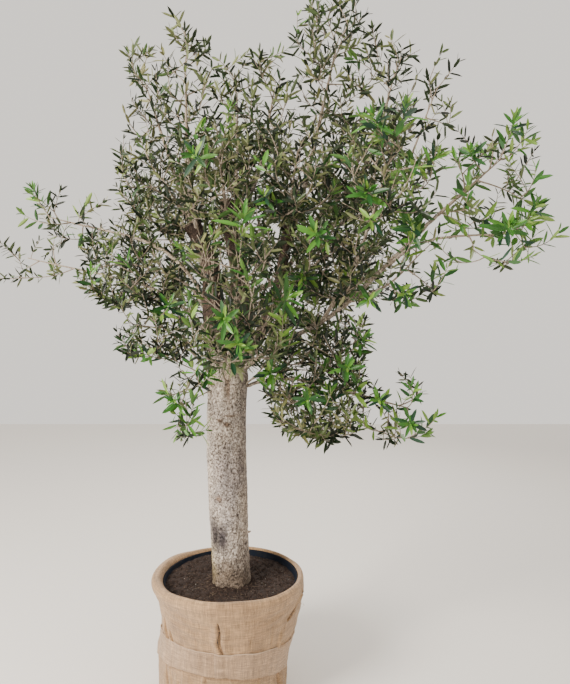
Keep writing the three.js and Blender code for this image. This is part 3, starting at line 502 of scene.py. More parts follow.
def centripetal(points, steps=24):
    """A centripetal Catmull-Rom curve through the points."""
    p = [np.asarray(q, float) for q in points]
    p = [2 * p[0] - p[1], *p, 2 * p[-1] - p[-2]]
    t = np.linspace(0, 1, steps, endpoint=False)[:, None]
    rows = []
    for a, b, c, d in zip(p, p[1:], p[2:], p[3:]):
        before, here, after = (np.linalg.norm(v) ** 0.5 for v in (b - a, c - b, d - c))
        leave = ((b - a) / before - (c - a) / (before + here) + (c - b) / here) * here
        arrive = ((c - b) / here - (d - b) / (here + after) + (d - c) / after) * here
        cubic = 2 * (b - c) + leave + arrive
        square = 3 * (c - b) - 2 * leave - arrive
        rows.append(b + leave * t + square * t**2 + cubic * t**3)
    return Curve(np.vstack([*rows, p[-2]]))


def bezier(start, bend, end, steps):
    t = np.linspace(0, 1, steps + 1)[:, None]
    return (1 - t) ** 2 * start + 2 * t * (1 - t) * bend + t**2 * end


# Meshes

class Pile:
    """Many small shapes that become one mesh, each face with a material number."""

    def __init__(self):
        self.vertices = []
        self.faces = {3: [], 4: []}
        self.materials = {3: [], 4: []}
        self.count = 0

    def add(self, vertices, faces=(), material=0):
        """Adds a shape. Its faces count its own vertices from 0."""
        self.add_faces([np.asarray(group) + self.count for group in faces], material)
        vertices = np.asarray(vertices, float).reshape(-1, 3)
        self.vertices.append(vertices)
        self.count += len(vertices)

    def add_faces(self, faces, material=0):
        """Adds faces between the pile's vertices: arrays, each with three or four columns."""
        for group in faces:
            sides = group.shape[1]
            self.faces[sides].append(group)
            self.materials[sides].append(np.broadcast_to(np.asarray(material), (len(group),)))

    def make(self, name, materials, is_smooth=True):
        used = [sides for sides in (3, 4) if self.faces[sides]]
        groups = [np.vstack(self.faces[sides]) for sides in used]
        sizes = np.concatenate([np.full(len(group), group.shape[1]) for group in groups])
        numbers = np.concatenate([number for sides in used for number in self.materials[sides]])
        corners = np.concatenate([group.ravel() for group in groups])
        vertices = np.vstack(self.vertices)
        mesh = bpy.data.meshes.new(name)
        mesh.vertices.add(len(vertices))
        mesh.vertices.foreach_set("co", vertices.ravel())
        mesh.loops.add(len(corners))
        mesh.loops.foreach_set("vertex_index", corners.astype(np.int32))
        mesh.polygons.add(len(sizes))
        starts = np.concatenate(([0], np.cumsum(sizes)[:-1]))
        mesh.polygons.foreach_set("loop_start", starts.astype(np.int32))
        mesh.polygons.foreach_set("material_index", numbers.astype(np.int32))
        mesh.polygons.foreach_set("use_smooth", np.full(len(sizes), is_smooth))
        mesh.update(calc_edges=True)
        for material in materials:
            mesh.materials.append(material)
        piece = bpy.data.objects.new(name, mesh)
        bpy.context.scene.collection.objects.link(piece)
        return piece


def ring_quads(rows, columns):
    """Quads between closed rings of points that follow each other."""
    i, j = np.meshgrid(np.arange(rows - 1), np.arange(columns), indexing="ij")
    a = (i * columns + j).ravel()
    b = (i * columns + (j + 1) % columns).ravel()
    return np.stack([a, b, b + columns, a + columns], 1)


def hub_fan(hub, first, columns, faces_down=False):
    """Triangles from a hub to the ring that starts at the vertex first."""
    k = np.arange(columns)
    fan = np.stack([np.full(columns, hub), first + k, first + (k + 1) % columns], 1)
    return fan[:, [0, 2, 1]] if faces_down else fan


def turned_grid(radii, heights, angles):
    """Points on rings, with quads between them."""
    vertices = np.stack([radii * np.cos(angles), radii * np.sin(angles), heights], -1)
    return vertices.reshape(-1, 3), ring_quads(*radii.shape)


def ring_angles(columns):
    return 2 * np.pi * np.arange(columns) / columns


def tube_frames(points):
    """Tangent, and two directions square to it that turn as little as they can."""
    points = np.asarray(points, float)
    tangents = unit(np.gradient(points, axis=0))
    normal = np.cross((0.0, 1.0, 0.0), tangents[0])
    if np.linalg.norm(normal) < 0.1:
        normal = np.array((1.0, 0.0, 0.0))
    normals = []
    for tangent in tangents:
        normal = unit(normal - tangent * np.dot(normal, tangent))
        normals.append(normal)
    normals = np.array(normals)
    return tangents, normals, np.cross(tangents, normals)


def add_tube(pile, points, radii, sides):
    """A closed tube along points, with its own radius at each."""
    _, normals, others = tube_frames(points)
    angles = ring_angles(sides)[None, :, None]
    ring = normals[:, None] * np.cos(angles) + others[:, None] * np.sin(angles)
    vertices = np.asarray(points)[:, None] + ring * np.asarray(radii)[:, None, None]
    rows = len(points)
    first, last = rows * sides, rows * sides + 1
    ends = [hub_fan(first, 0, sides, True), hub_fan(last, (rows - 1) * sides, sides)]
    vertices = np.vstack([vertices.reshape(-1, 3), points[0], points[-1]])
    pile.add(vertices, [ring_quads(rows, sides), *ends])


def corner_vertices(mesh):
    """The vertex of each face corner."""
    corners = np.empty(len(mesh.loops), np.int32)
    mesh.loops.foreach_get("vertex_index", corners)
    return corners


def add_map(piece, name, places):
    """A UV map with one place for each face corner."""
    layer = piece.data.uv_layers.new(name=name)
    layer.uv.foreach_set("vector", places.astype(np.float32).ravel())


def apply_modifiers(piece):
    settled = piece.evaluated_get(bpy.context.evaluated_depsgraph_get())
    mesh = bpy.data.meshes.new_from_object(settled)
    piece.modifiers.clear()
    old = piece.data
    piece.data = mesh
    bpy.data.meshes.remove(old)


# Materials

class Look:
    """A material in the making. Most of its methods add a node and return its output."""

    def __init__(self, name, roughness):
        self.material = bpy.data.materials.new(name)
        self.material.use_nodes = True
        self.shader = self.material.node_tree.nodes["Principled BSDF"].inputs
        self.set(self.shader["Roughness"], roughness)

    def set(self, socket, value):
        """Feeds an input from another node's output, or gives it a plain value."""
        if hasattr(value, "is_linked"):
            self.material.node_tree.links.new(value, socket)
        elif isinstance(value, tuple) and socket.type == "RGBA":
            socket.default_value = (*value, 1)
        else:
            socket.default_value = value

    def node(self, kind, inputs, **settings):
        node = self.material.node_tree.nodes.new("ShaderNode" + kind)
        for name, value in settings.items():
            setattr(node, name, value)
        for name, value in inputs.items():
            self.set(node.inputs[name], value)
        return node

    def place(self):
        return self.node("TexCoord", {}).outputs["Object"]

    def noise(self, place, scale, detail, rough, stretch=None):
        """A noise texture, stretched along the axes if asked."""
        if stretch:
            place = self.node("Mapping", {"Scale": stretch, "Vector": place}).outputs["Vector"]
        inputs = {"Scale": scale, "Detail": detail, "Roughness": rough, "Vector": place}
        return self.node("TexNoise", inputs).outputs["Fac"]

    def ramp(self, source, *stops):
        """A colour ramp over source. Each stop is its place and colour."""
        node = self.node("ValToRGB", {"Fac": source})
        elements = node.color_ramp.elements
        for element, (place, colour) in zip(elements, (stops[0], stops[-1])):
            element.position, element.color = place, (*colour, 1)
        for place, colour in stops[1:-1]:
            elements.new(place).color = (*colour, 1)
        return node.outputs["Color"]

    def blend(self, kind, share, a, b):
        inputs = {"Factor": share, "A": a, "B": b}
        return self.node("Mix", inputs, data_type="RGBA", blend_type=kind).outputs["Result"]

    def times(self, a, b, share=1.0):
        return self.blend("MULTIPLY", share, a, b)

    def height(self, place, axis, low, high, most=1.0):
        """How far a place lies between two heights along an axis, times most."""
        along = self.node("SeparateXYZ", {0: place}).outputs[axis]
        inputs = {"From Min": low, "From Max": high, "To Max": most, "Value": along}
        return self.node("MapRange", inputs).outputs["Result"]

    def colour(self, value):
        self.set(self.shader["Base Color"], value)

    def bump(self, height, distance, strength=1.0):
        inputs = {"Strength": strength, "Distance": distance, "Height": height}
        self.set(self.shader["Normal"], self.node("Bump", inputs).outputs["Normal"])


def bark(name, tones, scale):
    """Bark mottled from dark pits to pale scales, with strokes in crowds. tones run from the
    darkest to the palest. Gives its look, the place on it, and its colour."""
    look = Look(name, 0.88)
    place = look.place()
    mottle = look.noise(place, scale, 5, 0.72, (1, 1, 0.8))
    colour = look.ramp(mottle, *zip((0.37, 0.44, 0.49, 0.55, 0.64), tones))
    patches = look.noise(place, scale * 0.33, 3, 0.6, (1, 1, 0.8))
    patch_tone = look.ramp(patches, (0.38, (0.76, 0.75, 0.74)), (0.60, (1.14, 1.13, 1.12)))
    broad = look.noise(place, 7, 3, 0.6, (1, 1, 0.5))
    shade = look.ramp(broad, (0.34, (0.70, 0.71, 0.75)), (0.66, (1.16, 1.13, 1.07)))
    colour = look.times(look.times(colour, patch_tone), shade)
    strokes = look.noise(place, scale * 0.75, 3, 0.6, (1, 1, 0.9))
    stroke_tone = look.ramp(strokes, (0.56, (1, 1, 1)), (0.61, (0.24, 0.21, 0.20)))
    crowds = look.noise(place, 17, 3, 0.6, (1, 1, 0.55))
    crowded = look.ramp(crowds, (0.42, (0.12,) * 3), (0.57, (1, 1, 1)))
    colour = look.times(colour, stroke_tone, crowded)
    look.bump(look.times(mottle, stroke_tone), 0.004)
    return look, place, colour


def old_bark():
    """The trunk's pale bark with its marks and two patches of painted shade, darker and redder on the
    boughs, which is partly painted shade.
    """
    look, place, colour = bark("old_bark", OLD_BARK_TONES, 150)
    for mark in BARK_MARKS_AND_SHADES:
        colour = marked(look, place, colour, mark)
    # Towards the boughs the bark darkens: partly their redder bark, partly painted shade
    dark = look.times(colour, BOUGH_TONE_AND_SHADE)
    look.colour(look.blend("MIX", look.height(place, "Z", BOUGHS_FROM, BOUGHS_TO), colour, dark))
    return look.material


def marked(look, place, colour, mark):
    """The colour with one soft oval mark over it, ragged at its edge."""
    centre, wide, tall, tone = mark
    scale = (1 / wide, 1 / max(MARK_DEPTH, wide), 1 / tall)
    shift = tuple(-c * s for c, s in zip(centre, scale))
    oval = look.node("Mapping", {"Scale": scale, "Location": shift, "Vector": place}).outputs[0]
    distance = look.node("VectorMath", {0: oval}, operation="LENGTH").outputs["Value"]
    ragged = look.noise(oval, 1.6, 4, 0.7)
    edge = look.node("Math", {0: distance, 1: ragged}, operation="MULTIPLY").outputs[0]
    return look.times(colour, look.ramp(edge, (0.22, tone), (0.62, (1, 1, 1))))


def young_bark():
    """Smoother brown-grey bark of the thinner limbs."""
    look, _, colour = bark("young_bark", YOUNG_BARK_TONES, 170)
    look.colour(colour)
    return look.material


def cut_wood():
    """The sawn end of a bough: weathered rings."""
    look = Look("cut_wood", 0.85)
    inputs = {"Scale": 50, "Distortion": 3, "Vector": look.node("UVMap", {}).outputs["UV"]}
    rings = look.node("TexWave", inputs, wave_type="RINGS", rings_direction="Z").outputs["Fac"]
    look.colour(look.ramp(rings, (0.2, (0.20, 0.145, 0.10)), (0.8, (0.36, 0.28, 0.20))))
    look.bump(rings, 0.001, 0.6)
    return look.material


def leaf_material(name, colour, roughness, gloss):
    """One plain tint of leaf with a faint grain of veins: tints are dealt out twig by twig."""
    look = Look(name, roughness)
    look.set(look.shader["Specular IOR Level"], gloss)
    look.colour(colour)
    look.bump(look.noise(look.place(), 420, 2, 0.5), 0.0006, 0.5)
    return look.material


def twig_material():
    look = Look("twig_bark", 0.8)
    grain = look.noise(look.place(), 160, 4, 0.65)
    look.colour(look.ramp(grain, (0.32, (0.120, 0.088, 0.064)), (0.5, (0.260, 0.205, 0.155)),
                          (0.7, (0.430, 0.360, 0.280))))
    look.bump(grain, 0.0005, 0.7)
    return look.material


def burlap_material(name, tones, hem=None):
    """Jute in plain weave: crossing threads with thick and thin places, clouded by wear. hem is
    the height on the cloth where its turned edge starts to catch the light."""
    look = Look(name, 0.92)
    place = look.node("UVMap", {}, uv_map="cloth").outputs["UV"]
    colour = look.ramp(look.noise(place, 9, 4, 0.6), *zip((0.3, 0.7), tones))
    wave = {"Scale": 135, "Distortion": 1.2, "Detail": 1, "Detail Scale": 0.4, "Vector": place}
    waves = []
    for direction, fine, coarse in (("X", (330, 22, 1), (120, 5, 1)), ("Y", (22, 330, 1), (5, 120, 1))):
        waves.append(look.node("TexWave", wave, bands_direction=direction).outputs["Fac"])
        for stretch, dark, light in ((fine, 0.68, 1.28), (coarse, 0.82, 1.16)):
            slubs = look.noise(place, 1, 3, 0.65, stretch)
            tone = look.ramp(slubs, (0.33, (dark,) * 3), (0.67, (light,) * 3))
            colour = look.times(colour, tone)
    weave = look.blend("LIGHTEN", 1.0, *waves)
    gaps = look.ramp(weave, (0.25, (0.55, 0.5, 0.45)), (0.7, (1.12, 1.12, 1.12)))
    colour = look.times(colour, gaps, 0.8)
    if hem:
        # A painted highlight along the band's turned top edge
        edge = look.height(place, "Y", hem, hem + 0.003, 0.55)
        colour = look.blend("MIX", edge, colour, HEM_HIGHLIGHT_TONE)
    look.colour(colour)
    look.bump(weave, 0.0012, 0.8)
    look.set(look.shader["Sheen Weight"], 0.2)
    return look.material


def tub_material():
    """Dark nursery plastic, dusty from soil."""
    look = Look("tub_plastic", 0.75)
    dust = look.noise(look.place(), 35, 6, 0.7)
    look.colour(look.ramp(dust, (0.45, (0.0035, 0.0065, 0.014)), (0.8, (0.018, 0.018, 0.017))))
    look.set(look.shader["Specular IOR Level"], 0.1)
    look.bump(dust, 0.0006, 0.5)
    return look.material


def soil_material(name, tones):
    """Crumbly potting soil in three tones from dark to pale."""
    look = Look(name, 0.95)
    crumbs = look.noise(look.place(), 150, 6, 0.78)
    look.colour(look.ramp(crumbs, *zip((0.36, 0.52, 0.70), tones)))
    look.bump(crumbs, 0.004)
    return look.material


def root_material():
    look = Look("root_fibres", 0.85)
    grain = look.noise(look.place(), 200, 3, 0.6)
    look.colour(look.ramp(grain, (0.35, (0.055, 0.036, 0.024)), (0.65, (0.22, 0.16, 0.11))))
    return look.material


# The pot

def arc_from(angle, at):
    """The distance along the cloth from an angle, to the right as seen from outside."""
    return (np.mod(angle - at + np.pi, 2 * np.pi) - np.pi) * CLOTH_RADIUS


def drape(angle, radius, height):
    """How far the burlap stands out: folds in its skirt, a soft belly above the band, a roll at
    the rim that is thicker on the left, crinkles, creases, tuck and flap."""
    belly = np.sin(5 * angle + 0.7) * window(height, (BAND_HIGH, 0.36), (0.43, 0.45))
    roll = smooth(radius, 0.300, 0.318) * smooth(height, *ROLL) * np.maximum(0, -np.cos(angle))
    crinkles = np.sin(150 * height + 4 * np.sin(3 * angle)) * np.sin(2 * angle + 14 * height)
    crinkles = crinkles * window(height, (BAND_HIGH - 0.004, BAND_HIGH + 0.01), (0.47, 0.485))
    out = skirt(angle, height) + tuck(angle, height) + flap(angle, height) - slits(angle, height)
    out = out + SOFT["belly"] * belly + SOFT["roll"] * roll + SOFT["crinkle"] * crinkles
    for place in CREASES:
        out = out + crease(angle, height, place)
    return out


def skirt(angle, height):
    """The cloth below the band: it is gathered beneath the band's edge and hangs in folds."""
    below = below_band(height)
    waves = smooth(below, 0, 0.35) * np.sin(9 * angle + 1.1 * np.sin(2 * angle))
    gathers = smooth(below, 0, 0.12) * np.sin(23 * angle + 2 * np.sin(3 * angle))
    hollow = window(below, (0, 0.03), (0.08, 0.35)) * smooth(-np.sin(angle), -0.2, 0.6)
    out = SOFT["wave"] * waves + SOFT["gather"] * gathers - SOFT["hollow"] * hollow
    for at, moves, depth in FOLDS:
        side = arc_from(angle, np.radians(at + moves * below))
        out = out + RIDGE * depth * smooth(below, 0, 0.08) * bell(side - 0.017, 0.010)
    return out - valleys(angle, height)


def below_band(height):
    """0 at the band's lower edge and above it, 1 at the floor."""
    return np.clip(1 - height / BAND_LOW, 0, 1)


def valleys(angle, height):
    """How deep the skirt's folds are."""
    below = below_band(height)
    deep = 0 * height
    for at, moves, depth in FOLDS:
        side = arc_from(angle, np.radians(at + moves * below))
        deep = deep + depth * smooth(below, 0, 0.05) * bell(side, mix(0.0045, 0.008, below))
    return deep


def thin_rim(angle, radius, height):
    """Radius and height of the cloth once its roll is pressed thin at the back and right."""
    pressed = smooth(np.cos(angle - PRESSED_AT), -0.3, 0.9) * smooth(height, *ROLL)
    keep = 1 - PRESSED * pressed
    radius = np.where(radius > RIM_INSIDE, RIM_INSIDE + (radius - RIM_INSIDE) * keep, radius)
    return radius, np.where(height > RIM_TOP, RIM_TOP + (height - RIM_TOP) * keep, height)


def lift_rim(angle, height):
    """The rim of the cloth sits higher at the front, lower at the back, and dips in places."""
    dips = 0.003 * np.sin(3 * angle + 0.5) + 0.0015 * np.sin(8 * angle)
    return smooth(height, 0.44, 0.505) * (dips - 0.009 * np.sin(angle))


def slip(angle, height):
    """How far down the cloth and its band have slipped: not at the front, most at the back."""
    away = 1 + np.sin(angle) - 0.6 * np.maximum(0, np.sin(angle)) ** 2
    low, high = (back * away + right * np.cos(angle) for back, right in (SLIP_LOW, SLIP_HIGH))
    share = np.clip((height - BAND_LOW) / (BAND_HIGH - BAND_LOW), 0, 1)
    below = np.clip((height - STILL_BELOW) / (BAND_LOW - STILL_BELOW), 0, 1)
    above = np.clip((STILL_ABOVE - height) / (STILL_ABOVE - BAND_HIGH), 0, 1)
    return np.minimum(below, above) * mix(low, high, share)


def lopsided(angle, height):
    """How far the cloth stands out from its even shape: it is drawn in towards the tapering tub
    at its right and hangs loose at its left."""
    heights, right, left = zip(*LOPSIDED)
    to_right = (1 + np.cos(angle)) / 2
    return mix(np.interp(height, heights, left), -np.interp(height, heights, right), to_right)


def crease_line(angle, height, place):
    """How far to the side of a crease a place is, and how deep the crease is there."""
    low_angle, high_angle, bottom, top, depth = place
    along = (height - bottom) / (top - bottom)
    side = arc_from(angle, np.radians(mix(low_angle, high_angle, along)))
    return side, depth * window(along, (-0.25, 0.1), (0.35, 1.05))


def crease(angle, height, place):
    """The ridge of a soft upright fold, at the left of its valley."""
    side, depth = crease_line(angle, height, place)
    return RIDGE * depth * bell(side + 0.011, 0.008)


def tuck_line(angle, height):
    """How far to the side of the tuck a place is, half its slit's width, and its strength."""
    heights, degrees, gapes = zip(*TUCK)
    side = arc_from(angle, np.radians(np.interp(height, heights, degrees)))
    foot, head = heights[0], heights[-1]
    strength = window(height, (foot - 0.006, foot + 0.004), (head - 0.030, head + 0.006))
    return side, np.interp(height, heights, gapes), strength


def tuck(angle, height):
    """The pinched fold at the front: raised cloth on both sides of a slit that bends at its foot."""
    side, _, strength = tuck_line(angle, height)
    lips = 0.9 * bell(side + 0.013, 0.013) + 0.6 * bell(side - 0.022, 0.013)
    return TUCK_LIPS * strength * lips


def flap_line(angle, height):
    """How far along the slanting slit a place is, how far above it, and the slit's strength."""
    degrees = np.degrees(np.mod(angle + np.pi, 2 * np.pi) - np.pi)
    along = (degrees - FLAP["low_angle"]) / (FLAP["high_angle"] - FLAP["low_angle"])
    above = height - mix(FLAP["low"], FLAP["high"], along)
    return along, above, window(along, (-0.12, 0.12), (1.1, 1.4))


def flap(angle, height):
    """The loose corner at the right of the rim, which juts out over a slanting slit."""
    along, above, strength = flap_line(angle, height)
    lip = mix(*FLAP["lip"], smooth(along, 0.2, 1)) * bell(above + 0.012, 0.009)
    eave = mix(*FLAP["eave"], smooth(along, 0.3, 1.1)) * bell(above - 0.011, 0.006)
    return strength * (eave + lip)


def slits(angle, height):
    """How deep the cloth falls in at the tuck, in the creases and under the flap."""
    side, gape, strength = tuck_line(angle, height)
    deep = TUCK_DEPTH * strength * bell(side, gape)
    for place in CREASES:
        side, depth = crease_line(angle, height, place)
        deep = deep + 1.3 * depth * bell(side, CREASE_SLIT)
    along, above, strength = flap_line(angle, height)
    gape = mix(*FLAP["gape"], smooth(along, 0.1, 0.9))
    return deep + FLAP["depth"] * strength * bell(above + 0.003, gape)


def pinch(angle, height):
    """How far the cloth is drawn round the pot and up it to close the lips of its slits."""
    side, gape, strength = tuck_line(angle, height)
    turn = 0.45 * gape * strength * bell(side + 1.3 * gape, gape)
    for place in CREASES:
        side, depth = crease_line(angle, height, place)
        turn = turn - np.clip(70 * depth, 0, 0.6) * side * bell(side, 0.0060)
    _, above, strength = flap_line(angle, height)
    drop = FLAP["drop"] * strength * bell(above - 0.0045, 0.0045)
    lift = FLAP["lift"] * strength * bell(above + 0.0045, 0.0045)
    return turn / CLOTH_RADIUS, lift - drop


def uneven(count, low, high, zones):
    """count places from low to high that lie closer together inside the zones."""
    fine = np.linspace(low, high, 4000)
    edge = 0.02 * (high - low)
    weight = np.ones_like(fine)
    for start, end, times in zones:
        weight += (times - 1) * window(fine, (start - edge, start), (end, end + edge))
    total = np.cumsum(weight)
    return np.interp(np.linspace(0, 1, count), (total - total[0]) / (total[-1] - total[0]), fine)


def wrap_profile():
    """Points up the cloth from the hem, over the roll and down its inner side, and how far each
    lies along the cloth."""
    outer = centripetal([(radius, 0, height) for radius, height in WRAP_OUTSIDE])
    inner = centripetal([(radius, 0, height) for radius, height in [WRAP_OUTSIDE[-1], *WRAP_INSIDE]])
    shares = uneven(WRAP_ROWS, 0, 1, [FINE_SHARES])
    spots = np.vstack([outer.at(shares), inner.at(np.linspace(0, 1, WRAP_INNER_ROWS))[1:]])
    along = np.concatenate(([0], np.cumsum(np.linalg.norm(np.diff(spots, axis=0), axis=1))))
    return spots[:, 0], spots[:, 2], along


def lay_cloth_map(piece, across, along):
    """A UV map in metres of cloth: across is round the pot, along is up it."""
    corners = corner_vertices(piece.data)
    u, v = across.ravel()[corners].reshape(-1, 4), along.ravel()[corners]
    u = np.where(u.max(1, keepdims=True) - u > 1, u + 2 * np.pi * MAP_RADIUS, u)
    add_map(piece, "cloth", np.stack([u.ravel(), v], 1))


def make_wrap(cloth_material, painted_shade_material):
    """The wrap. Deep in its slits and folds the cloth is darkened with painted shade."""
    radius, height, cloth = wrap_profile()
    zones = [(math.radians(start), math.radians(end), times) for start, end, times in FINE_ANGLES]
    columns = WRAP_COLUMNS
    angles, radii = np.meshgrid(uneven(columns + 1, -math.pi, math.pi, zones)[:-1], radius)
    heights = np.broadcast_to(height[:, None], radii.shape)
    is_outer = (np.arange(len(radius)) < WRAP_ROWS - ROWS_AT_LIP)[:, None]
    turn, rise = pinch(angles, heights)
    lowered = heights - slip(angles, heights)
    out = np.where(is_outer, drape(angles, radii, heights), 0) + lopsided(angles, lowered)
    radii, level = thin_rim(angles, radii, lowered)
    level = level + is_outer * (lift_rim(angles, heights) + rise)
    # Faces deep in the slits and fold valleys get the darker burlap as painted shade
    is_shaded = (slits(angles, heights) > DEEP_SLIT) | (valleys(angles, heights) > DEEP_VALLEY)
    is_shaded = (is_outer & is_shaded).ravel()
    vertices, quads = turned_grid(radii + out, level, angles + is_outer * turn)
    last = (len(radius) - 1) * columns
    k = np.arange(columns)
    hem = np.stack([last + k, last + (k + 1) % columns, (k + 1) % columns, k], 1)
    pile = Pile()
    pile.add(vertices, [quads], is_shaded[quads].all(1).astype(int))
    pile.add_faces([hem])
    piece = pile.make("burlap_cloth", [cloth_material, painted_shade_material])
    along = np.broadcast_to(cloth[:, None], radii.shape)
    lay_cloth_map(piece, (angles + np.pi) * MAP_RADIUS, along)
    return piece


def make_band(material):
    """The burlap band, one end lapped over the other at the front."""
    columns, rows = BAND_COLUMNS, len(BAND_ROWS)
    start = math.radians(BAND_START)
    turn = math.radians(BAND_TURN)
    turned = turn * np.linspace(0, 1, columns)
    angle = start - turned
    angles, shares = np.meshgrid(angle, BAND_ROWS)
    low = BAND_LOW + 0.003 * np.sin(3 * angle + 0.5) + 0.002 * np.sin(11 * angle)
    high = BAND_HIGH + 0.002 * np.sin(2 * angle + 1.2) + 0.0015 * np.sin(13 * angle)
    z = low + (high - low) * shares
    z = z - slip(angles, z)
    lap = BAND_LAP * smooth(turned, turn - math.radians(9), turn - math.radians(5))
    ripple = 0.0012 * np.sin(17 * angles + 9 * shares) + 0.0008 * np.sin(41 * angles)
    radii = BAND_RADIUS + lap + ripple + lopsided(angles, z)
    vertices = np.stack([radii * np.cos(angles), radii * np.sin(angles), z], -1)
    i, j = np.meshgrid(np.arange(rows - 1), np.arange(columns - 1), indexing="ij")
    a = (i * columns + j).ravel()
    pile = Pile()
    pile.add(vertices, [np.stack([a, a + columns, a + columns + 1, a + 1], 1)])
    piece = pile.make("burlap_belt", [material])
    lay_cloth_map(piece, (angles - start) * MAP_RADIUS + 5, (BAND_HIGH - BAND_LOW) * shares)
    sheet = piece.modifiers.new("sheet", "SOLIDIFY")
    sheet.thickness = BAND_SHEET
    sheet.offset = -1
    apply_modifiers(piece)
    return piece


def make_tub(material):
    """The nursery tub, its wall seen above the soil."""
    under = TUB_HEIGHT - TUB_LIP_HEIGHT
    shoulder = mix(TUB_BASE, TUB_RIM, under / TUB_HEIGHT)
    inside, outside, edge = TUB_RIM - TUB_WALL, TUB_RIM + TUB_LIP, TUB_ROUND
    profile = [
        (0.001, 0), (TUB_BASE, 0), (shoulder, under), (shoulder + TUB_LIP, under + TUB_LIP),
        (outside - edge, TUB_HEIGHT - edge), (outside - 2 * edge, TUB_HEIGHT),
        (inside + edge, TUB_HEIGHT), (inside, TUB_HEIGHT - edge),
        (TUB_BASE - TUB_WALL, TUB_FLOOR), (0.001, TUB_FLOOR),
    ]
    radius, height = (np.array(part) for part in zip(*profile))
    angles, radii = np.meshgrid(ring_angles(TUB_COLUMNS), radius)
    vertices, quads = turned_grid(radii, np.broadcast_to(height[:, None], radii.shape), angles)
    first_ring = np.arange(TUB_COLUMNS)
    last_ring = (len(profile) - 1) * TUB_COLUMNS + first_ring
    pile = Pile()
    pile.add(vertices, [quads])
    for ring in (first_ring[::-1], last_ring):
        pile.add_faces([np.stack([np.full(TUB_COLUMNS - 2, ring[0]), ring[1:-1], ring[2:]], 1)])
    return pile.make("tub_shell", [material])


def soil_height(radius, angle):
    """The soil's surface: heaped unevenly at the trunk's foot, and banked up behind."""
    heap = HEAP + sum(rise * np.sin(waves * angle + start) for waves, rise, start in HEAP_WAVES)
    slope = smooth(radius, SOIL_CROWN_RADIUS, TUB_RIM - TUB_WALL)
    height = mix(SOIL_CROWN, SOIL_EDGE, slope) + heap * bell(radius - HEAP_RADIUS, HEAP_WIDTH)
    for rise, at, fades_from, fades_to in SOIL_BANKS:
        near = smooth(np.cos(angle - at), fades_from, fades_to)
        height = height + rise * near * smooth(radius, 0.12, 0.27)
    return height


def make_soil(material):
    radius = np.linspace(SOIL_INSIDE, SOIL_OUTSIDE, SOIL_ROWS)
    angles, radii = np.meshgrid(ring_angles(SOIL_COLUMNS), radius)
    places = np.stack([radii * np.cos(angles), radii * np.sin(angles)], -1) * CLODS_PER_METRE
    clods = [noise.fractal(Vector((x, y, 0.3)), 0.7, 2.1, 5) for x, y in places.reshape(-1, 2)]
    clods = np.array(clods).reshape(radii.shape) * smooth(radii, 0.05, 0.09)
    pile = Pile()
    vertices, quads = turned_grid(radii, soil_height(radii, angles) + CLOD * clods, angles)
    pile.add(vertices, [quads])
    return pile.make("soil_surface", [material])


def lumps(rng, count):
    """Irregular eight-sided lumps of radius about 1, each about the origin."""
    corners = np.array([(1, 0, 0), (0, 1, 0), (-1, 0, 0), (0, -1, 0), (0, 0, 1), (0, 0, -1)], float)
    shapes = corners[None] * rng.uniform(0.55, 1.2, (count, 6, 1))
    spin = rng.uniform(0, 2 * np.pi, (count, 1))
    x = shapes[..., 0] * np.cos(spin) - shapes[..., 1] * np.sin(spin)
    y = shapes[..., 0] * np.sin(spin) + shapes[..., 1] * np.cos(spin)
    faces = [(4, 0, 1), (4, 1, 2), (4, 2, 3), (4, 3, 0), (5, 1, 0), (5, 2, 1), (5, 3, 2), (5, 0, 3)]
    return np.stack([x, y, shapes[..., 2]], -1), np.array(faces)


def scatter_crumbs(dark, rng):
    """Loose crumbs on the soil, paler ones among them, and a few white grains."""
    pale = soil_material("soil_pale_crumbs", PALE_CRUMB_TONES)
    white = soil_material("soil_white_grains", WHITE_GRAIN_TONES)
    pile = Pile()
    for count, sizes, inner, outer, number in CRUMBS:
        radius = np.sqrt(rng.uniform(inner**2, outer**2, count))
        angle = rng.uniform(0, 2 * np.pi, count)
        shapes, faces = lumps(rng, count)
        height = soil_height(radius, angle)
        centres = np.stack([radius * np.cos(angle), radius * np.sin(angle), height], -1)
        vertices = centres[:, None] + shapes * rng.uniform(*sizes, (count, 1, 1))
        index = (np.arange(count)[:, None, None] * shapes.shape[1] + faces[None]).reshape(-1, 3)
        pile.add(vertices, [index], number)
    return pile.make("soil_crumb", [dark, pale, white], is_smooth=False)


def make_roots(material, rng):
    """Fine root ends and fibres that lie on the soil, most of them at the foot."""
    pile = Pile()
    for _ in range(ROOTS["count"]):
        radius = ROOTS["nearest"] + abs(rng.normal(0, ROOTS["spread"]))
        angle = rng.uniform(0, 2 * np.pi)
        start = radius * outward(angle) + upward(soil_height(radius, angle) + 0.003)
        way = outward(rng.uniform(0, 2 * np.pi)) * rng.uniform(0.012, 0.034)
        bend = start + way * 0.5 + rng.normal(0, 0.004, 3) + upward(0.005)
        end = start + way
        if np.hypot(end[0], end[1]) < ROOTS["farthest"]:
            radii = np.linspace(ROOTS["root"], ROOTS["tip"], 6)
            add_tube(pile, bezier(start, bend, end, 5), radii, 4)
    return pile.make("soil_roots", [material])


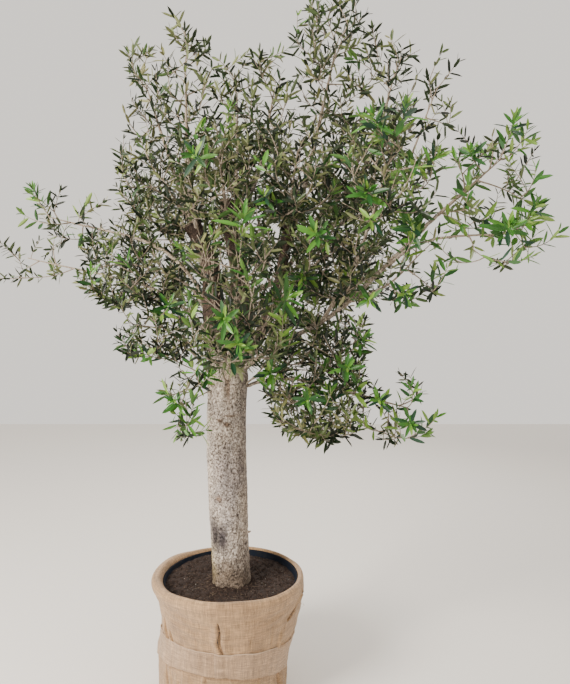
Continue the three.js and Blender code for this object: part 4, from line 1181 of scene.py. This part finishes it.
def make_threads(material, rng):
    """Frayed ends of jute at the rim, the band's edges and the flap, and the tuck's knot."""
    spots = [(rng.uniform(-math.pi, math.pi), rng.choice([BAND_HIGH, BAND_LOW]), EDGE_THREAD_LENGTH)
             for _ in range(EDGE_THREADS)]
    for count, degrees, heights, length in THREADS:
        for _ in range(count):
            spots.append((math.radians(rng.uniform(*degrees)), rng.uniform(*heights), length))
    pile = Pile()
    for angle, height, length in spots:
        base = THREADS_FROM["band" if height < BAND_HIGH + 0.02 else "rim"]
        height = height - slip(angle, height)
        start = outward(angle) * (base + lopsided(angle, height)) + upward(height)
        reach = rng.uniform(0.4, 1.0) * length
        along = sideways(angle)
        bend = start + outward(angle) * 0.25 * reach + along * rng.uniform(-0.5, 0.5) * reach
        end = bend + along * rng.uniform(-0.6, 0.6) * reach + upward(rng.uniform(-0.9, 0.4) * reach)
        add_tube(pile, bezier(start, bend, end, 5), np.full(6, THREAD_RADIUS), 4)
    knot = math.radians(FRONT) + KNOT["turn"]
    middle = KNOT["radius"] * outward(knot) + upward(KNOT["height"])
    across = sideways(knot) * KNOT["half_width"]
    add_tube(pile, [middle - across, middle, middle + across], [0.001, 0.002, 0.001], 8)
    piece = pile.make("burlap_threads", [material])
    add_map(piece, "cloth", np.full(2 * len(piece.data.loops), 0.05))
    return piece


# The tree's wood

class Space:
    """Where one mass of foliage may grow."""

    def __init__(self, name):
        centre, reach, self.shoots, self.leafy, self.young = MASSES[name]
        self.centre = np.array(centre)
        self.reach = np.array(reach)
        self.size = np.cbrt(np.prod(self.reach))
        self.largest = self.reach.max()
        self.curve = None
        self.start = 0
        self.limb_radius = STEM_RADIUS

    def depth(self, points):
        """How deep points lie in this space: the least of its reach and of the planes half-way
        to its neighbours. Below zero they are outside."""
        offset = np.asarray(points) - self.centre
        depth = (1 - np.linalg.norm(offset / self.reach, axis=-1)) * self.size
        own = (offset**2).sum(-1) - self.size**2
        for other in SPACES.values():
            apart = np.linalg.norm(self.centre - other.centre)
            if other is self or apart > self.largest + other.largest:
                continue
            theirs = ((points - other.centre) ** 2).sum(-1) - other.size**2
            depth = np.minimum(depth, (theirs - own) / (2 * apart) - CELL_MARGIN)
        return depth

    def room(self, points):
        """How deep points lie within the mass's reach, which is given square shoulders here, so
        that fine growth closes the seams between masses."""
        offset = np.abs((np.asarray(points) - self.centre) / self.reach)
        return (1 - (offset**SHOULDER).sum(-1) ** (1 / SHOULDER)) * self.size


SPACES = {name: Space(name) for name in MASSES}


def curve_into(name, start, via):
    """The curve from a limb's start through its points and on past the centre of its mass."""
    space = SPACES[name]
    onwards = unit(space.centre - np.array(via[-1]))
    end = space.centre + onwards * space.reach * STEM["overshoot"]
    return centripetal([start, *via, end])


def entry(name, curve):
    """How far along the curve its limb ends: a little inside the space of its mass."""
    shares = np.linspace(0, 1, 401)
    outside = np.nonzero(SPACES[name].depth(curve.at(shares)) <= LIMB_SINK)[0]
    return shares[min(outside[-1] + 1, 400)]


def lay_out_limbs():
    """Each limb's curve up to its end, with its radii. It also gives each mass its stem."""
    tree = {"trunk": (centripetal([(x, 0, z) for z, x, _ in TRUNK_RINGS]), 1.0)}
    limbs = {}
    for name, parent, share, via, mass, radius_from, radius_to in LIMBS:
        host, host_end = tree[parent]
        curve = curve_into(mass, host.at(share * host_end), via)
        end = entry(mass, curve)
        tree[name] = (curve, end)
        limbs[name] = (Curve(curve.at(np.linspace(0, end, 40))), radius_from, radius_to)
        SPACES[mass].curve, SPACES[mass].start = curve, end
        SPACES[mass].limb_radius = radius_to
    for mass, share, leaving in FROM_TRUNK:
        SPACES[mass].curve = curve_into(mass, tree["trunk"][0].at(share), [leaving])
    return limbs


def trunk_pile():
    """The trunk's plain skin before its bark is raised: lightly fluted, flared at the foot."""
    rings = np.array(TRUNK_RINGS)
    height = np.concatenate([[TRUNK_FOOT], np.linspace(SOIL_CROWN, rings[-1, 0], TRUNK_ROWS)])
    centre = np.interp(height, rings[:, 0], rings[:, 1])
    radius = np.interp(height, rings[:, 0], rings[:, 2])
    radius = np.convolve(np.pad(radius, 4, "edge"), np.ones(9) / 9, "valid")
    radius[0] = radius[1] + 0.004
    columns = TRUNK_COLUMNS
    angles, radii = np.meshgrid(ring_angles(columns), radius)
    heights = np.broadcast_to(height[:, None], radii.shape)
    radii = radii * (1 + TRUNK_FLUTE * np.sin(TRUNK_FLUTES * angles + TRUNK_TWIST * heights))
    vertices, quads = turned_grid(radii, heights, angles)
    vertices[:, 0] += np.repeat(centre, columns)
    pile = Pile()
    pile.add(vertices, [quads])
    for ring, faces_down in ((0, True), (len(height) - 1, False)):
        fan = hub_fan(pile.count, ring * columns, columns, faces_down)
        pile.add((centre[ring], 0, height[ring]))
        pile.add_faces([fan])
    return pile


def stubs(limbs):
    """The sawn boughs: the line of each stub and its radius."""
    for name, leaves_at, end, radius in CUT_STUBS:
        yield np.array([limbs[name][0].at(leaves_at), end]), radius


def make_trunk(limbs, material):
    """Trunk and thick boughs as one surface, with the bark's relief in the mesh."""
    pile = trunk_pile()
    for curve, radius_from, radius_to in limbs.values():
        if radius_from <= THICK:
            continue
        shares = np.linspace(0, 1, 34)
        swelling = 0.10 * bell(shares, 0.12) + 0.05 * np.sin(19 * shares + radius_from * 900)
        radii = mix(radius_from, radius_to, shares) * (1 + swelling)
        add_tube(pile, curve.at(shares), radii, BOUGH_SIDES)
    for line, radius in stubs(limbs):
        shares = np.linspace(0, 1, 8)
        radii = radius * mix(0.95, 1.04, shares)
        add_tube(pile, Curve(line).at(shares), radii, BOUGH_SIDES)
    add_tube(pile, NUB, [0.008, 0.006, 0.004], 10)
    piece = pile.make("trunk_and_boughs", [material])
    skin = piece.modifiers.new("one_skin", "REMESH")
    skin.mode = "VOXEL"
    skin.voxel_size = BARK_VOXEL
    soften = piece.modifiers.new("soften", "SMOOTH")
    soften.factor = 0.5
    soften.iterations = 3
    apply_modifiers(piece)
    raise_bark(piece)
    return piece


def bark_relief(point):
    """How far the bark stands out at a point: lumps, long furrows, small pits, and the groove
    that runs down from the fork."""
    x, y, z = point
    lump = noise.fractal(Vector((x * 16, y * 16, z * 9)), 0.8, 2.0, 3)
    furrow = noise.noise(Vector((x * 42, y * 42, z * 8)))
    rough = noise.fractal(Vector((x * 150, y * 150, z * 95)), 0.7, 2.0, 2)
    nearest = noise.voronoi(Vector((x * 70, y * 70, z * 48)))[0][0]
    pit = max(0.0, 1 - nearest / 0.42) ** 2
    groove = 0.0
    if y < 0 and GROOVE["low"] < z < GROOVE["high"]:
        fades_in = min(1.0, (z - GROOVE["low"]) / 0.10)
        groove = GROOVE["depth"] * fades_in * bell(x - GROOVE["x"], GROOVE["width"])
    return LUMP * lump + FURROW * furrow + ROUGH * rough - PIT * pit - groove


def raise_bark(piece):
    mesh = piece.data
    places, normals = (np.empty(len(mesh.vertices) * 3, np.float32) for _ in range(2))
    mesh.vertices.foreach_get("co", places)
    mesh.vertices.foreach_get("normal", normals)
    out = [bark_relief(point) for point in places.reshape(-1, 3).tolist()]
    raised = places + normals * np.repeat(out, 3)
    mesh.vertices.foreach_set("co", raised.astype(np.float32))
    mesh.polygons.foreach_set("use_smooth", np.ones(len(mesh.polygons), bool))
    mesh.update()


def make_stub_faces(limbs, material):
    """The pale sawn face of each stub, a little proud of its bark."""
    pile = Pile()
    ends = []
    for line, radius in stubs(limbs):
        end = line[1]
        way = unit(end - line[0])
        radii = [radius * 0.88, radius * 0.86]
        add_tube(pile, [end - way * 0.004, end + way * 0.0015], radii, 28)
        ends.append(end)
    piece = pile.make("stub_faces", [material], is_smooth=False)
    places = np.vstack(pile.vertices)[corner_vertices(piece.data)]
    is_first = np.abs(places[:, :1] - ends[0][0]) < 0.06
    add_map(piece, "cut", (places - np.where(is_first, *ends))[:, :2])
    return piece


def make_limbs(limbs, material, rng):
    """The thinner limbs, each with small swellings where shoots once were."""
    pile = Pile()
    for curve, radius_from, radius_to in limbs.values():
        if radius_from > THICK:
            continue
        steps = max(16, int(curve.length / 0.014))
        shares = np.linspace(0, 1, steps)
        radii = mix(radius_from * 0.95, radius_to * 0.7, shares)
        radii *= 1 + 0.06 * rng.normal(0, 1, steps)
        wobble = rng.normal(0, 0.0012, (steps, 3)) * smooth(shares, 0, 0.1)[:, None]
        add_tube(pile, curve.at(shares) + wobble, radii, 10)
    return pile.make("thin_limbs", [material])


# The crown

def leaf_faces(rows):
    """Faces of one leaf: the triangles at its ends above and beneath, then the quads between."""
    left, right, over, under = (lambda row, k=k: 2 + 4 * row + k for k in range(4))
    base, tip, last = 0, 1, rows - 1
    ends_above = [
        (base, right(0), over(0)), (base, over(0), left(0)),
        (right(last), tip, over(last)), (over(last), tip, left(last)),
    ]
    ends_beneath = [
        (base, under(0), right(0)), (base, left(0), under(0)),
        (right(last), under(last), tip), (under(last), left(last), tip),
    ]
    above, beneath = [], []
    for row in range(last):
        after = row + 1
        above.append((right(row), right(after), over(after), over(row)))
        above.append((over(row), over(after), left(after), left(row)))
        beneath.append((right(row), under(row), under(after), right(after)))
        beneath.append((under(row), left(row), left(after), under(after)))
    return [np.array(group) for group in (ends_above, ends_beneath, above, beneath)]


def leaf_shapes(table, profile):
    """Corners of every leaf in the table, shape (leaves, corners, 3). A row of the table has where
    the leaf starts, which way it points, which way it faces, its length, width, tint and curl."""
    root, direction, face = table[:, 0:3], table[:, 3:6], table[:, 6:9]
    length, width, curl = table[:, 9:10], table[:, 10:11], table[:, 12:13]
    across = np.cross(face, direction)
    shape = [(0, 0, 0), (1, 0, 0)]
    for share, part in profile:
        edges = [(share, part / 2, 0), (share, -part / 2, 0)]
        shape += [*edges, (share, 0, 0), (share, 0, LEAF_THICKNESS)]
    corners = []
    for share, side, thick in shape:
        rise = LEAF_FOLD * abs(side) * width - thick - curl * length * share**2
        place = root + direction * (share * length) + across * (side * width)
        corners.append(place + face * rise)
    return np.stack(corners, 1)


def build_leaves(name, leaves, profile, materials):
    """One mesh of all the leaves. The first half of the materials is for their upper sides."""
    table = np.array(leaves)
    shapes = leaf_shapes(table, profile)
    count, corners = shapes.shape[:2]
    tints = table[:, 11].astype(int)
    beneath = tints + len(materials) // 2
    pile = Pile()
    pile.add(shapes)
    for group, numbers in zip(leaf_faces(len(profile)), (tints, beneath, tints, beneath)):
        index = np.arange(count)[:, None, None] * corners + group[None]
        pile.add_faces([index.reshape(-1, group.shape[1])], np.repeat(numbers, len(group)))
    return pile.make(name, materials, is_smooth=False)


def shoot_targets(space, axis, phase):
    """Points spread by the golden angle about the stem's direction, inside the mass's reach."""
    k = np.arange(space.shoots)
    up = mix(SHOOT["lowest"], SHOOT["highest"], (k + 0.5) / space.shoots)
    ring = np.sqrt(1 - up**2)
    around = phase + k * SPREAD
    aims = np.stack([ring * np.cos(around), ring * np.sin(around), up], -1)
    turn = Vector((0, 0, 1)).rotation_difference(Vector(axis)).to_matrix()
    return space.centre + aims @ np.array(turn).T * space.reach * SHOOT["reach"]


def bend_towards(start, tangent, target, sag):
    """A path that leaves along the wood, sags, and bends up towards its target."""
    reach = target - start
    length = np.linalg.norm(reach)
    bend = start + reach * 0.5 + tangent * SHOOT["leave"] * length
    bend[2] -= SHOOT["sag"] * length * sag
    return bezier(start, bend, target, 12)


def keep_inside(space, points):
    """The points up to where they first leave the space again."""
    inside = space.depth(points) > SHOOT["margin"]
    if not inside.any():
        return None
    first = np.argmax(inside)
    gone = np.nonzero(~inside[first:])[0]
    end = first + gone[0] if len(gone) else len(points)
    return points[:end] if end >= 3 else None


class Wood:
    """The places of a mass that finer twigs may leave from, and which way the wood runs there."""

    def __init__(self):
        self.places = np.empty((0, 3))
        self.ways = np.empty((0, 3))

    def add(self, points):
        self.places = np.vstack([self.places, points])
        self.ways = np.vstack([self.ways, unit(np.gradient(points, axis=0))])

    def leave_for(self, target):
        """The nearest place below the target, and the way the wood runs there."""
        reach = target - self.places
        length = np.linalg.norm(reach, axis=1)
        cost = length + LOW_COST * np.maximum(0, TWIG["rise"] - reach[:, 2])
        cost += SHORT_COST * np.maximum(0, TWIG["shortest"] - length)
        best = np.argmin(cost)
        return self.places[best], self.ways[best]


class Crown:
    """Everything that grows on the limbs."""

    def __init__(self, limbs):
        self.leaves = {}
        self.young = []
        self.twigs = {}
        self.ends = np.empty((0, 3))
        shares = np.linspace(0, 1, 24)
        points = [(x, 0, z, radius) for z, x, radius in TRUNK_RINGS]
        for curve, radius_from, radius_to in limbs.values():
            radii = mix(radius_from, radius_to, shares)
            points += [(*point, radius) for point, radius in zip(curve.at(shares), radii)]
        self.limb_points = np.array(points)
        self.pockets = [(np.array(place), unit(np.array(CAMERA_PLACE) - place), radius)
                        for place, radius in POCKETS]

    def is_free(self, point):
        """Whether a leaf's tip may be here: clear of the limbs, of the openings that show a bough,
        and within the room the tree has."""
        if not all(low < c < high for c, low, high in zip(point, *GROWING_ROOM)):
            return False
        gap = np.linalg.norm(self.limb_points[:, :3] - point, axis=1) - self.limb_points[:, 3]
        if gap.min() < LIMB_CLEARANCE:
            return False
        for place, sight, radius in self.pockets:
            offset = point - place
            along = offset @ sight
            if along > 0 and np.linalg.norm(offset - along * sight) < radius:
                return False
        return True

    def tubes(self, name):
        return self.twigs.setdefault(region_of(name), Pile())


def region_of(name):
    if name.startswith("back"):
        return "back"
    if name.startswith(("top", "spur")):
        return "top"
    if "left" in name:
        return "left"
    return "middle" if name.startswith("middle") else "right"


def twig_targets(space, ends, rng):
    """Places for the tips of fine twigs, each the one of a few tries that lies farthest from the
    tips there are."""
    places = []
    for _ in range(round(TWIG["per_m3"] * 8 * np.prod(space.reach) * space.leafy)):
        tries = space.centre + rng.uniform(-1, 1, (TWIG_TRIES, 3)) * space.reach
        tries = tries[space.room(tries) > TWIG["margin"]]
        if not len(tries):
            continue
        taken = np.vstack([ends, *places]) if len(ends) or places else space.centre[None]
        gaps = np.linalg.norm(tries[:, None] - taken[None], axis=2).min(1)
        places.append(tries[np.argmax(gaps)])
    return places


def grow_mass(crown, name, number):
    """Stem, shoots, fine twigs and leaves of one mass."""
    space = SPACES[name]
    draw = source_random(FIRST_SEED + number)
    rng = np.random.default_rng(SEEDS["masses"] + number)
    stem = space.curve.at(np.linspace(space.start, 1, 20))
    root = min(space.limb_radius * STEM["taper"], STEM["root"])
    add_tube(crown.tubes(name), stem, np.linspace(root, STEM["tip"], len(stem)), 6)
    wood = Wood()
    wood.add(stem)
    axis = unit(space.curve.at(1.0) - space.curve.at(max(space.start, 0.5)))
    phase = draw() * 2 * math.pi
    for k, target in enumerate(shoot_targets(space, axis, phase)):
        along = mix(SHOOT["first"], SHOOT["last"], (k + 0.5) / space.shoots)
        where = mix(space.start, 1, along)
        start, way = space.curve.at(where), space.curve.tangent(where)
        path = keep_inside(space, bend_towards(start, way, target, 0.5 + draw()))
        if path is None:
            continue
        radii = np.linspace(SHOOT["root"], SHOOT["tip"], len(path))
        add_tube(crown.tubes(name), path, radii, 5)
        wood.add(path[2:])
        dress_twig(crown, name, path, rng, SHOOT["bare"])
        crown.ends = np.vstack([crown.ends, path[-1]])
    middle = space.centre[1]
    tips = [np.array((x, middle + rng.uniform(-0.03, 0.03), z)) for x, z in TIPS.get(name, [])]
    for target in tips + twig_targets(space, crown.ends, rng):
        grow_twig(crown, name, wood, target, rng)


def grow_twig(crown, name, wood, target, rng):
    start, way = wood.leave_for(target)
    path = bend_towards(start, way, target, 0.5 + rng.random())
    root = TWIG["root"] * min(1.3, 0.7 + 2 * np.linalg.norm(target - start))
    add_tube(crown.tubes(name), path[::2], np.linspace(root, TWIG["tip"], 7), 4)
    wood.add(path[3:8])
    crown.ends = np.vstack([crown.ends, target])
    dress_twig(crown, name, path, rng, TWIG["bare"])


def facing(direction, axis, scatter, rng):
    """The way a leaf's upper side faces: along the wood that it grows from, more or less."""
    face = unit(axis - direction * (axis @ direction) + scatter * rng.normal(0, 1, 3))
    return unit(face - direction * (face @ direction))


def dress_twig(crown, name, path, rng, bare, young=None):
    """Opposite pairs of leaves along a twig, each pair square to the last and closer and smaller
    towards the tip."""
    space = SPACES[name]
    curve = Curve(path)
    tangents, normals, others = tube_frames(path)
    if young is None:
        young = rng.random() < space.young
    old_leaf = TOP_LEAF if region_of(name) == "top" else OLD_LEAF
    kind, tints = (YOUNG_LEAF, YOUNG_TINTS) if young else (old_leaf, OLD_TINTS)
    leaves = crown.young if young else crown.leaves.setdefault(region_of(name), [])
    shares = [share for _, _, share in tints]
    tint = rng.choice(len(tints), p=shares)
    count = max(3, round(curve.length * (1 - bare) / kind["apart"]))
    turn = rng.uniform(0, 2 * np.pi)
    for k in range(count + 1):
        share = bare + (1 - bare) * ((k + 0.3) / (count + 0.3)) ** 0.85
        row = min(int(share * len(path)), len(path) - 1)
        tangent, root = tangents[row], curve.at(share)
        turn += math.pi / 2 + rng.normal(0, 0.15)
        size = rng.uniform(*LEAF_SIZES) * mix(1.0, SIZE_AT_TIP, smooth(share, 0.8, 1.0))
        size *= mix(SIZE_AT_ROOT, 1.0, smooth(share, bare, bare + 0.2))
        length = kind["length"] * size
        for opposite in (0, math.pi):
            if rng.random() < MISSING_LEAVES:
                continue
            around = turn + opposite + rng.normal(0, 0.2)
            side = normals[row] * math.cos(around) + others[row] * math.sin(around)
            lean = rng.uniform(*LEANS) * (0.5 if k == count else 1)
            direction = unit(tangent * math.cos(lean) + side * math.sin(lean))
            face = facing(direction, tangent, 0.35, rng)
            tip = root + direction * kind["length"] * size
            if space.room(tip) < -LEAF_OVERHANG or not crown.is_free(tip):
                continue
            own = tint if rng.random() < SAME_TINT else rng.choice(len(tints), p=shares)
            if young and k > count - 3:
                own = rng.integers(FRESHEST, len(tints))
            width = kind["width"] * size**0.7 * rng.uniform(*LEAF_WIDTHS)
            curl = rng.uniform(*LEAF_CURLS)
            leaves.append((*root, *direction, *face, length, width, own, curl))


def grow_water_shoots(crown, limbs, rng):
    """Thin upright shoots from the boughs, where the tree was cut back."""
    for bough, name in WATER_SHOOTS.items():
        curve = limbs[bough][0]
        for _ in range(WATER_SHOOT["count"]):
            start = curve.at(rng.uniform(*WATER_SHOOT["along"]))
            out = outward(rng.uniform(0, 2 * np.pi)) + np.array((0, -0.3, 0))
            target = start + out * rng.uniform(*WATER_SHOOT["out"])
            target = target + upward(rng.uniform(*WATER_SHOOT["up"]))
            path = bend_towards(start, out, target, 0.3)
            radii = np.linspace(WATER_SHOOT["root"], WATER_SHOOT["tip"], len(path))
            add_tube(crown.tubes(name), path, radii, 5)
            dress_twig(crown, name, path, rng, WATER_SHOOT["bare"])


def grow_rosettes(crown, rng):
    """New growth at the front: a fresh shoot from the mass's stem to each place, with crowded
    pairs of larger leaves at its end."""
    for name, x, z, size in ROSETTES:
        space = SPACES[name]
        aside = (x - space.centre[0]) / space.reach[0]
        above = (z - space.centre[2]) / space.reach[2]
        front = math.sqrt(max(0.15, 0.95 - (aside**2 + above**2)))
        place = np.array((x, max(ROSETTE_LIMIT, space.centre[1] - front * space.reach[1]), z))
        stem = space.curve.at(np.linspace(space.start, 1, 30))
        far = np.linalg.norm(stem - place, axis=1) + 0.5 * np.maximum(0, stem[:, 2] - z)
        path = bend_towards(stem[np.argmin(far)], np.array((0, -0.3, 0.0)), place, 0.6)
        radii = np.linspace(ROSETTE_SHOOT["root"], ROSETTE_SHOOT["tip"], len(path))
        add_tube(crown.tubes(name), path, radii, 5)
        dress_twig(crown, name, path[:-2], rng, ROSETTE_SHOOT["bare"], young=True)
        add_rosette(crown, place, unit(path[-1] - path[-2]), size, rng)


def add_rosette(crown, place, axis, size, rng):
    """Pairs of leaves that stand the more upright and are the smaller the nearer to the heart."""
    axis = unit(axis + np.array((0, -0.35, 0.35)))
    side = unit(np.cross(axis, (0.3, 1.0, 0.2)))
    other = np.cross(axis, side)
    turn = rng.uniform(0, 2 * np.pi)
    for k in range(ROSETTE_PAIRS):
        inner = k / (ROSETTE_PAIRS - 1)
        root = place + axis * ROSETTE_STEP * size * k
        turn += math.pi / 2 + rng.normal(0, 0.2)
        for opposite in (0, math.pi):
            around = turn + opposite + rng.normal(0, 0.2)
            lean = mix(*ROSETTE_LEANS, inner) + rng.normal(0, 0.12)
            out = side * math.cos(around) + other * math.sin(around)
            direction = unit(axis * math.cos(lean) + out * math.sin(lean))
            face = facing(direction, axis, 0.2, rng)
            length = size * mix(*ROSETTE_LENGTHS, inner**1.3) * rng.uniform(0.82, 1.12)
            choice = (FRESHEST, len(YOUNG_TINTS)) if inner > 0.4 else (0, FRESHEST + 2)
            tint = rng.integers(*choice)
            shape = (length, length * 0.25, tint, rng.uniform(0.02, 0.16))
            crown.young.append((*root, *direction, *face, *shape))


def tint_materials(tints, word):
    """A material for the upper side of each tint, then one for each underside."""
    return [leaf_material(f"{word}_{side}_{k}", tint[number], *LEAF_SHINE[side])
            for number, side in enumerate(LEAF_SHINE) for k, tint in enumerate(tints)]


def make_crown(limbs):
    """All twigs and leaves, as (piece, region) with no region for what grows in every mass."""
    crown = Crown(limbs)
    for number, name in enumerate(MASSES):
        grow_mass(crown, name, number)
    grow_water_shoots(crown, limbs, seeded("water shoots"))
    grow_rosettes(crown, seeded("rosettes"))
    tints = tint_materials(OLD_TINTS, "old")
    wood = twig_material()
    pieces = []
    for region, leaves in crown.leaves.items():
        pieces.append((build_leaves(f"leaves_{region}", leaves, OLD_ROWS, tints), region))
    for region, pile in crown.twigs.items():
        pieces.append((pile.make(f"twigs_{region}", [wood]), region))
    tints = tint_materials(YOUNG_TINTS, "young")
    pieces.append((build_leaves("leaves_young", crown.young, YOUNG_ROWS, tints), None))
    return pieces


# The stage

def make_stage():
    look = Look("stage_floor", 0.9)
    look.colour(FLOOR_COLOUR)
    half = FLOOR_SIZE / 2
    corners = [(-half, -half, 0), (half, -half, 0), (half, half, 0), (-half, half, 0)]
    pile = Pile()
    pile.add(corners, [[(0, 1, 2, 3)]])
    floor = pile.make("floor", [look.material])
    floor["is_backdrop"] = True
    world = bpy.data.worlds.new("studio")
    world.use_nodes = True
    sky = world.node_tree.nodes["Background"].inputs
    sky["Color"].default_value = (*SKY_COLOUR, 1)
    sky["Strength"].default_value = SKY_STRENGTH
    bpy.context.scene.world = world
    for light in LIGHTS:
        add_light(*light)


def add_light(name, place, aim, size, power, colour):
    light = bpy.data.lights.new(name, "AREA")
    light.size = size
    light.energy = power
    light.color = colour
    lamp = bpy.data.objects.new(name, light)
    lamp.location = place
    lamp.rotation_euler = (Vector(aim) - Vector(place)).to_track_quat("-Z", "Y").to_euler()
    bpy.context.scene.collection.objects.link(lamp)


def make_camera():
    camera = bpy.data.cameras.new("photo_view")
    camera.sensor_fit = "HORIZONTAL"
    camera.sensor_width = SENSOR_WIDTH
    camera.lens = SENSOR_WIDTH * FOCAL_PIXELS / PHOTO_WIDTH
    holder = bpy.data.objects.new("photo_view", camera)
    holder.location = CAMERA_PLACE
    holder.rotation_euler = (math.pi / 2 - CAMERA_PITCH, 0, 0)
    bpy.context.scene.collection.objects.link(holder)
    bpy.context.scene.camera = holder


def seeded(what):
    return np.random.default_rng(SEEDS[what])


def dress(piece, slot, *nodes):
    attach(piece, "root")
    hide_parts(*nodes)


def main():
    make_stage()
    make_camera()
    burlap = burlap_material("burlap", BURLAP_TONES)
    belt = burlap_material("burlap_belt", BELT_TONES, hem=HEM_HEIGHT)
    # Darker burlap, painted shade deep in the wrap's slits and folds
    painted_fold_shade = burlap_material("burlap_painted_shade", FOLD_SHADE_TONES)
    dress(make_wrap(burlap, painted_fold_shade), "burlap", "burlap_wrap")
    dress(make_band(belt), "burlap", "burlap_band")
    dress(make_threads(burlap, seeded("threads")), "burlap", "burlap_band")
    dress(make_tub(tub_material()), "tub", "tub")
    soil = soil_material("soil_crumbs", SOIL_TONES)
    dress(make_soil(soil), "soil", "soil")
    dress(scatter_crumbs(soil, seeded("crumbs")), "soil", "soil")
    dress(make_roots(root_material(), seeded("roots")), "soil", "soil")
    limbs = lay_out_limbs()
    thick = [name for name, (_, radius, _) in limbs.items() if radius > THICK]
    thin = [name for name in limbs if name not in thick]
    dress(make_trunk(limbs, old_bark()), "trunk_bark", "trunk", *thick)
    dress(make_stub_faces(limbs, cut_wood()), "trunk_bark", *thick)
    dress(make_limbs(limbs, young_bark(), seeded("limbs")), "bough_bark", *thin)
    foliage = {name: "foliage_" + name for name in MASSES}
    for piece, region in make_crown(limbs):
        nodes = [node for name, node in foliage.items() if region in (None, region_of(name))]
        dress(piece, "foliage", *nodes)


main()
boxes = {"cad": cad_box, "visual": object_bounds()}
{key: [[float(x) for x in corner] for corner in box] for key, box in boxes.items()}
